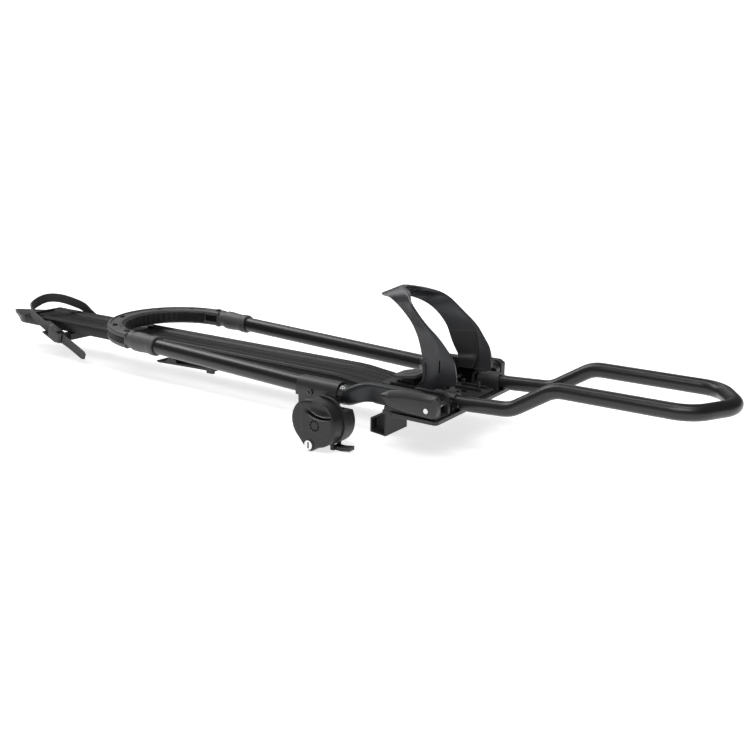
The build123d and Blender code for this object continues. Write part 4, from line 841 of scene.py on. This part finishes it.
# %% Dark inlays in the sunk sides of the hoop's arms
inlays = {"outer_near": (206, 268, 122.2, 123.0), "outer_far": (92, 154, 122.2, 123.0),
          "inner_near": (254, 268, 98.0, 98.8), "inner_far": (92, 106, 98.0, 98.8)}
for name, (start, end, low, high) in inlays.items():
    angles = np.linspace(start, end, 48)
    corners = np.array([(low, -5.3), (high, -5.3), (high, 5.3), (low, 5.3)])
    flat = np.broadcast_to(corners, (len(angles), 4, 2))
    inlay = skin("hoop_inlay_" + name, round_the_hoop(angles, flat[..., 0], flat[..., 1]), "hoop",
                 stands=False, smooth_angle=30)
    inlay.data.materials[0] = finishes["inlay_black"]
print(len(inlays), "inlays")

# %% The pad in the hoop
pad_angles = np.linspace(108, 252, 560)
blocky = np.abs(pad_angles - 172) < 34
rib_pitch = np.where(blocky, 6.2, 2.3)
rib_phase = np.cumsum(np.gradient(pad_angles) / rib_pitch)
rib_wave = np.where(blocky, 3.2, 1.6) * np.sin(2 * np.pi * rib_phase)
rib = np.clip(0.5 + rib_wave + np.where(blocky, 1.6, 0), 0, 1)
pad_back, pad_face = 97.3 + 0 * rib, 94.6 - rib * 1.9
pad_corners = np.stack([places(u, w) for u, w in (
    (pad_back, -9.5), (pad_back, 9.5), (pad_face, 8.9), (pad_face, -8.9))], axis=1)
pad_flat = soft_ring(pad_corners, 0.4, 3)
skin("hoop_pad_skin", round_the_hoop(pad_angles, pad_flat[..., 0], pad_flat[..., 1]), "hoop_pad",
     smooth_angle=30)
print("ribs in the pad:", int(rib_phase[-1]))

# %% The collars
collar_profile = smooth_run([
    # distance from the front end, radius
    (0.0, 12.8), (0.0, 15.2), (1.2, 16.3), (6.0, 16.5), (11.0, 16.4), (13.0, 15.7), (16.0, 15.4),
    (28.0, 15.7), (36.0, 16.4), (44.0, 16.5), (50.5, 16.3), (52.0, 15.2), (54.0, 14.2),
    (66.0, 13.8), (66.0, 12.8)], 66)
turn = circle(48)[:, None]
tube_start, tube_height, collar_start = -95.0, 13.5, -487.0
collar_height = tube_height + tube_fall * (tube_start - collar_start)
for name, side in sides.items():
    collar_place = np.array([collar_start, side * tube_side, collar_height])
    ring = collar_profile[:, None, 1:] * (np.cos(turn) * sideways + np.sin(turn) * hoop_up)
    collar_rings = collar_place - collar_profile[:, None, :1] * hoop_ahead + ring
    skin("collar_" + name + "_skin", collar_rings, "collar_" + name, closed=True, smooth_angle=32)
print("two collars of", len(collar_profile), "rings")

# %% [markdown]
# ## Mast arms
# Each arm is a casting that starts round, where it fills the tube's toothed ring, and flows
# inward into a flat bar with a round hub. A superellipse does that with one number: at 2 it
# is an ellipse, and the higher it is, the squarer the section becomes.

# %% The arms
arm_stops = np.array([
    # x, outer y, inner y, top, underside, squareness
    (-94.4, 124.4, 97.0, 27.2, -0.2, 2.0), (-90, 124.2, 97.2, 28.4, -0.4, 2.2),
    (-83, 122.8, 97.6, 31.2, 1.6, 2.6), (-74, 119.4, 98, 34.6, 5.2, 3.2),
    (-64, 115.4, 98, 36.8, 8.6, 4.2), (-54, 113.3, 98, 37.6, 10.2, 5.5),
    (-40, 113.0, 98, 37.6, 11.2, 7.0), (-20, 113.0, 98, 37.6, 11.6, 8.0),
    (0, 113.0, 98, 37.6, 11.6, 8.0), (21, 113.0, 98, 37.6, 11.6, 8.0)])
arm_rows = smooth_run(arm_stops, 60)
hub_height, hub_radius = 24.6, 13
hub_turn = np.linspace(0, 1, 16)[1:] * np.radians(82)
hub_rows = np.repeat(arm_stops[-1:], len(hub_turn), axis=0)
hub_rows[:, 0] += hub_radius * np.sin(hub_turn)
hub_rows[:, 3] = hub_height + hub_radius * np.cos(hub_turn)
hub_rows[:, 4] = hub_height - hub_radius * np.cos(hub_turn)
x, outer, inner, top, low, square_power = np.concatenate([arm_rows, hub_rows]).T[..., None]
arm_turn = circle(64)[None]


def squared(wave):
    """A sine or cosine w made squarer: sign(w) |w|^(2 / squareness)."""
    return np.sign(wave) * np.abs(wave) ** (2 / square_power)


arm_y = (outer + inner) / 2 + (outer - inner) / 2 * squared(np.cos(arm_turn))
arm_z = (top + low) / 2 + (top - low) / 2 * squared(np.sin(arm_turn))
for name, side in sides.items():
    skin("mast_arm_" + name + "_skin", places(x, side * arm_y, arm_z), "mast_arm_" + name,
         smooth_angle=50)
print("two arms")

# %% [markdown]
# ## Quick-release lever
# The lever is a moulding with a lens-shaped facet along its top edge, where a finger pulls.
# Eight copies of its outline, the outer ones each a little smaller, make the rounded face.
# A bevel could round it too, but it would not give the facet, which is one more inset that
# only the top edge gets.

# %% The lever
lever_corners = [
    (69.5, 24.4), (69.5, 41.2), (65.8, 44.8), (43.3, 45.4), (13.3, 44.4), (-9.3, 40.2),
    (-20.5, 34.9), (-18.3, 30.7), (-7.8, 20.3), (24.5, 15.7), (62, 14.2), (66.8, 16.2)]
lever_outline = soft_ring(lever_corners, 1.6, 5)
lever_edge = np.roll(lever_outline, -1, axis=0) - np.roll(lever_outline, 1, axis=0)
lever_out = places(-lever_edge[:, 1], lever_edge[:, 0])
lever_out /= np.linalg.norm(lever_out, axis=1, keepdims=True) + 1e-9
lever_middle = lever_outline.mean(axis=0)
lever_out *= np.sign(np.sum(lever_out * (lever_outline - lever_middle)))
lens = ease(lever_out[:, 1] * 3 - 1.6) * ease((lever_outline[:, 0] + 22) / 16)
lens *= ease((72 - lever_outline[:, 0]) / 12)
lever_rings = []
for depth, inset, lens_cut in ((127.0, 0.3, 0), (127.4, 0, 0), (132.0, 0, 0), (132.6, 0, 0.5),
                               (135.8, 0.1, 3.8), (137.6, 0.6, 5.6), (138.7, 1.5, 6.4),
                               (139.0, 2.5, 6.8)):
    flat = lever_outline - lever_out * (inset + lens * lens_cut)[:, None]
    lever_rings.append(places(flat[:, 0], -depth, flat[:, 1]))
skin("lever_skin", lever_rings, "lever", smooth_angle=50)
print("lever outline of", len(lever_outline), "points")

# %% [markdown]
# ## Knob dial
# The dial is one moulding: a disc that bulges to the rear, joined to the lock's boss by
# a straight side. The tightest line round some circles is, seen from the axis, as far away
# as the nearest of all the lines that touch them. The dial's edge is that line round the
# disc and its bulge, with the boss and the straight side added to it. On the face are a
# dished thumb rest, a crescent groove, a raised field and a flat for the lock.

# %% The dial's edge
dial_place = np.array([-104.4, -15.9])
dial_circles = np.array([(0, -1.0, 33.5), (-10, 1.5, 33.0), (-11, -32, 10.0)])
dial_turn, touch = circle(360), circle(720)
touch_side = places(np.cos(touch), np.sin(touch))
lean, least_lean, far_off = np.cos(dial_turn[:, None] - touch[None]), 0.05, 1e9


def tight_line(circles):
    """How far the tightest line round some circles lies from the axis, in each direction.

    The line that touches them on one side is the greatest (place . side) + radius away. Seen
    under an angle it is that over the angle's cosine, and the nearest such line counts.
    """
    touch_reach = (circles[:, :2] @ touch_side.T + circles[:, 2:]).max(axis=0)
    away = touch_reach[None] / np.maximum(lean, least_lean)
    return np.where(lean > least_lean, away, far_off).min(axis=1)


to_hull, to_disc = tight_line(dial_circles), tight_line(dial_circles[:2])
toward = places(np.cos(dial_turn), np.sin(dial_turn))
boss_place, boss_radius = dial_circles[2, :2], dial_circles[2, 2]
boss_along = toward @ boss_place
boss_room = boss_radius ** 2 - boss_place @ boss_place + boss_along ** 2
to_boss = np.where((boss_room > 0) & (boss_along > 0),
                   boss_along + np.sqrt(np.maximum(boss_room, 0)), 0)
boss_angle = math.atan2(boss_place[1], boss_place[0]) % (2 * math.pi)
to_wedge = np.where((dial_turn > math.pi) & (dial_turn < boss_angle), to_hull, 0)
dial_edge = np.maximum(np.maximum(to_disc, to_boss), to_wedge)
print("dial reaches", round(float(dial_edge.min()), 1), "to", round(float(dial_edge.max()), 1), "mm")


# %% The dial
crescent_stops, crescent_halves = (-15, 0, 15, 31), (3.4, 2.7, 2.2, 1.2)
crescent_bow, crescent_middle, crescent_low = 0.0105, 12, 11


def crescent_line(x):
    """Height of the crescent's middle line: z = 11 + 0.0105 (x - 12)^2, in mm."""
    return crescent_low + crescent_bow * (x - crescent_middle) ** 2


def dial_sink(x, z):
    """How far the dial's face lies below its highest plane, in mm.

    Thumb rest: 4.2 (1 - (x - 13)^2 / 20^2 - (z - 24.6)^2 / 10^2)^0.8, where that is positive.
    Crescent: 3.4 (1 - (d / w)^4), with d the distance to its middle line and w half its width.
    Outside the raised field the face lies 1.4 deeper, and inside it 1.0 deeper at the lock.
    """
    thumb = 4.2 * np.clip(1 - ((x - 13) / 20) ** 2 - ((z - 24.6) / 10) ** 2, 0, 1) ** 0.8
    crest = crescent_line(x)
    slant = 2 * crescent_bow * (x - crescent_middle)
    near = np.abs(z - crest) / np.sqrt(1 + slant ** 2)
    wide = np.interp(x, crescent_stops, crescent_halves)
    crescent = 3.4 * np.clip(1 - (near / wide) ** 4, 0, 1) * ease((x + 18) / 4) * ease((34 - x) / 4)
    field_low = np.interp(x, (-24, -8, 9.4, 24, 32), (-12.2, -10.6, -15.6, -17.6, -10))
    outside = 1 - ease((z - field_low) / 1.4 + 0.5) * ease((x + 25.5) / 1.6) * ease((32.5 - x) / 1.6)
    outside *= 1 - ease((z - crest) / 2)
    lock = 1 - ease(np.hypot(x + 11, z + 32) - 8.0)
    return np.maximum(thumb, crescent) + 1.4 * outside + lock * (1 - outside)


dial_face, dial_back, edge_round = -175.0, -152.3, 5.0
edge_gap = np.array([3.7, 2.6, 1.7, 1.0, 0.5, 0.15, 0.0])[:, None]
spread_share = np.linspace(0.02, 1, 80)[:, None]
reach = np.concatenate([spread_share * (dial_edge - edge_round), dial_edge - edge_gap])
gap = np.maximum(edge_round - (dial_edge - reach), 0)
rounded_edge = edge_round - np.sqrt(np.maximum(edge_round ** 2 - gap ** 2, 0))
x, z = reach * np.cos(dial_turn), reach * np.sin(dial_turn)
face_y = dial_face + rounded_edge + dial_sink(x, z) * ease((dial_edge - reach - 0.5) / 3)
back_reach = np.stack([dial_edge, dial_edge - 0.8, dial_edge * 0.05])
back_y = np.array([dial_back - 0.8, dial_back, dial_back])[:, None] + 0 * dial_edge
reach = np.concatenate([reach, back_reach])
dial_rings = places(dial_place[0] + reach * np.cos(dial_turn), np.concatenate([face_y, back_y]),
                    dial_place[1] + reach * np.sin(dial_turn))
skin("knob_dial_skin", dial_rings, "knob_dial", smooth_angle=42)
print("dial:", dial_rings.shape[:2], "rings and points")

# %% [markdown]
# ## Marks on the dial and the lock
# The real dial has dark dots round its middle and a crescent groove, and the lock has a slot
# for the key. Pale rims along the crescent's edges are painted highlights, and a dark floor in
# the groove and the dark key slot are painted shade. They could be painted by a texture, but
# as thin pieces they stay sharp from near, and each carries one plain finish.

# %% Ten dots round the dial's middle
dot_count, dot_ring, dot_radius, dot_drop = 10, 7.0, 1.4, 1.7
dot_turn = circle(16)
for index, angle in enumerate(circle(dot_count)):
    dot_x = dial_place[0] + dot_ring * np.cos(angle) + dot_radius * np.cos(dot_turn)
    dot_z = dial_place[1] - dot_drop + dot_ring * np.sin(angle) + dot_radius * np.sin(dot_turn)
    dot_rings = [places(dot_x, y, dot_z) for y in (-173.4, -175.25)]
    dot = skin("dial_dot_%02d" % index, dot_rings, "knob_dial", stands=False)
    dot.data.materials[0] = finishes["deep_black"]
print(dot_count, "dots")

# %% Pale rims along the crescent groove as painted highlights, and its dark floor as painted shade
rim_turn = circle(8)
rim_steps, rim_radius, rim_shifts = 40, 0.75, (4.0, 3.2, 2.7, 1.7)
for name, shift, start, end in (("upper", 1, -6, 29), ("lower", -1, -13, 23)):
    rim_x = np.linspace(start, end, rim_steps)
    rim_z = crescent_line(rim_x) + shift * np.interp(rim_x, crescent_stops, rim_shifts)
    thin = rim_radius * np.sin(np.linspace(0.12, np.pi - 0.12, rim_steps)) ** 0.5
    rim_rings = places(
        dial_place[0] + rim_x[:, None], dial_face + thin[:, None] * np.cos(rim_turn) * 0.8,
        dial_place[1] + rim_z[:, None] + thin[:, None] * np.sin(rim_turn))
    # The rims are pale thin tubes: painted highlights on the groove's edges.
    rim = skin("dial_rim_" + name, rim_rings, "knob_dial", stands=False, smooth_angle=60)
    rim.data.materials[0] = finishes["rim_plastic"]
groove_x, groove_share = np.linspace(-14, 29, rim_steps), 0.72
groove_half = groove_share * np.interp(groove_x, crescent_stops, crescent_halves)
groove_deep, groove_top = -171.0, -172.3
groove_rings = np.stack([
    places(dial_place[0] + groove_x, y,
           dial_place[1] + crescent_line(groove_x) + share * groove_half)
    for y, share in ((groove_deep, -1), (groove_top, -1), (groove_top, 1), (groove_deep, 1))],
    axis=1)
# The groove's dark floor is painted shade.
crescent_floor = skin("dial_crescent_floor", groove_rings, "knob_dial", stands=False)
crescent_floor.data.materials[0] = finishes["deep_black"]
print("two rims and a dark floor in the crescent")

# %% The key's slot, a dark slab of painted shade
lock_x, lock_z, slot_half_width, slot_half_length = -115.4, -47.9, 1.2, 4.4
slot_x = lock_x + slot_half_width * np.array([-1, 1, 1, -1])
slot_z = lock_z + slot_half_length * np.array([-1, -1, 1, 1])
slot_rings = [places(slot_x, y, slot_z) for y in (dial_face, dial_face - 0.86)]
key_slot = skin("key_slot", slot_rings, "lock_plug", stands=False)
key_slot.data.materials[0] = finishes["deep_black"]
print("a dark slot in the lock")

# %% [markdown]
# ## Floor
# A pale floor catches the soft shadow. Near the carrier it is a real surface that glows a
# little for the camera and for mirrors, so that it comes out nearly white without more
# light on the carrier. Further away it fades into the white world, which hides its rim. A
# curved backdrop would do it too, but it shows a bend in low views.

# %% Floor and the end
floor_size, floor_gap, floor_tone = 12.0, 0.0005, 0.82
glow_strength, fade_start = 0.72, 1.3
floor_mesh = bpy.data.meshes.new("floor")
corners = np.array([(-1, -1), (1, -1), (1, 1), (-1, 1)]) * floor_size
floor_mesh.from_pydata([(x, y, cad_low.z - floor_gap) for x, y in corners], [], [(0, 1, 2, 3)])
floor = bpy.data.objects.new("floor", floor_mesh)
bpy.context.scene.collection.objects.link(floor)
floor_material = bpy.data.materials.new("pale_floor")
floor_material.use_nodes = True
floor_tree = floor_material.node_tree
floor_shader = floor_tree.nodes["Principled BSDF"]
floor_shader.inputs["Base Color"].default_value = (floor_tone, floor_tone, floor_tone, 1)
floor_shader.inputs["Roughness"].default_value = 0.9
floor_glow = floor_tree.nodes.new("ShaderNodeEmission")
floor_sum = floor_tree.nodes.new("ShaderNodeAddShader")
floor_fade = floor_tree.nodes.new("ShaderNodeMixShader")
floor_clear = floor_tree.nodes.new("ShaderNodeBsdfTransparent")
floor_ray = floor_tree.nodes.new("ShaderNodeLightPath")
floor_place = floor_tree.nodes.new("ShaderNodeTexCoord")
floor_reach = floor_tree.nodes.new("ShaderNodeVectorMath")
floor_reach.operation = "LENGTH"
floor_tree.links.new(floor_place.outputs["Object"], floor_reach.inputs[0])
seen = math_node(floor_tree, "MAXIMUM", floor_ray.outputs["Is Camera Ray"],
                 floor_ray.outputs["Is Glossy Ray"])
glow = math_node(floor_tree, "MULTIPLY", seen, glow_strength)
past_start = math_node(floor_tree, "SUBTRACT", floor_reach.outputs["Value"], fade_start)
fade_amount = floor_tree.nodes.new("ShaderNodeClamp")
for output, socket in (
        (glow, floor_glow.inputs["Strength"]), (past_start, fade_amount.inputs[0]),
        (floor_shader.outputs[0], floor_sum.inputs[0]), (floor_glow.outputs[0], floor_sum.inputs[1]),
        (fade_amount.outputs[0], floor_fade.inputs[0]), (floor_sum.outputs[0], floor_fade.inputs[1]),
        (floor_clear.outputs[0], floor_fade.inputs[2]),
        (floor_fade.outputs[0], floor_tree.nodes["Material Output"].inputs[0])):
    floor_tree.links.new(output, socket)
floor_mesh.materials.append(floor_material)
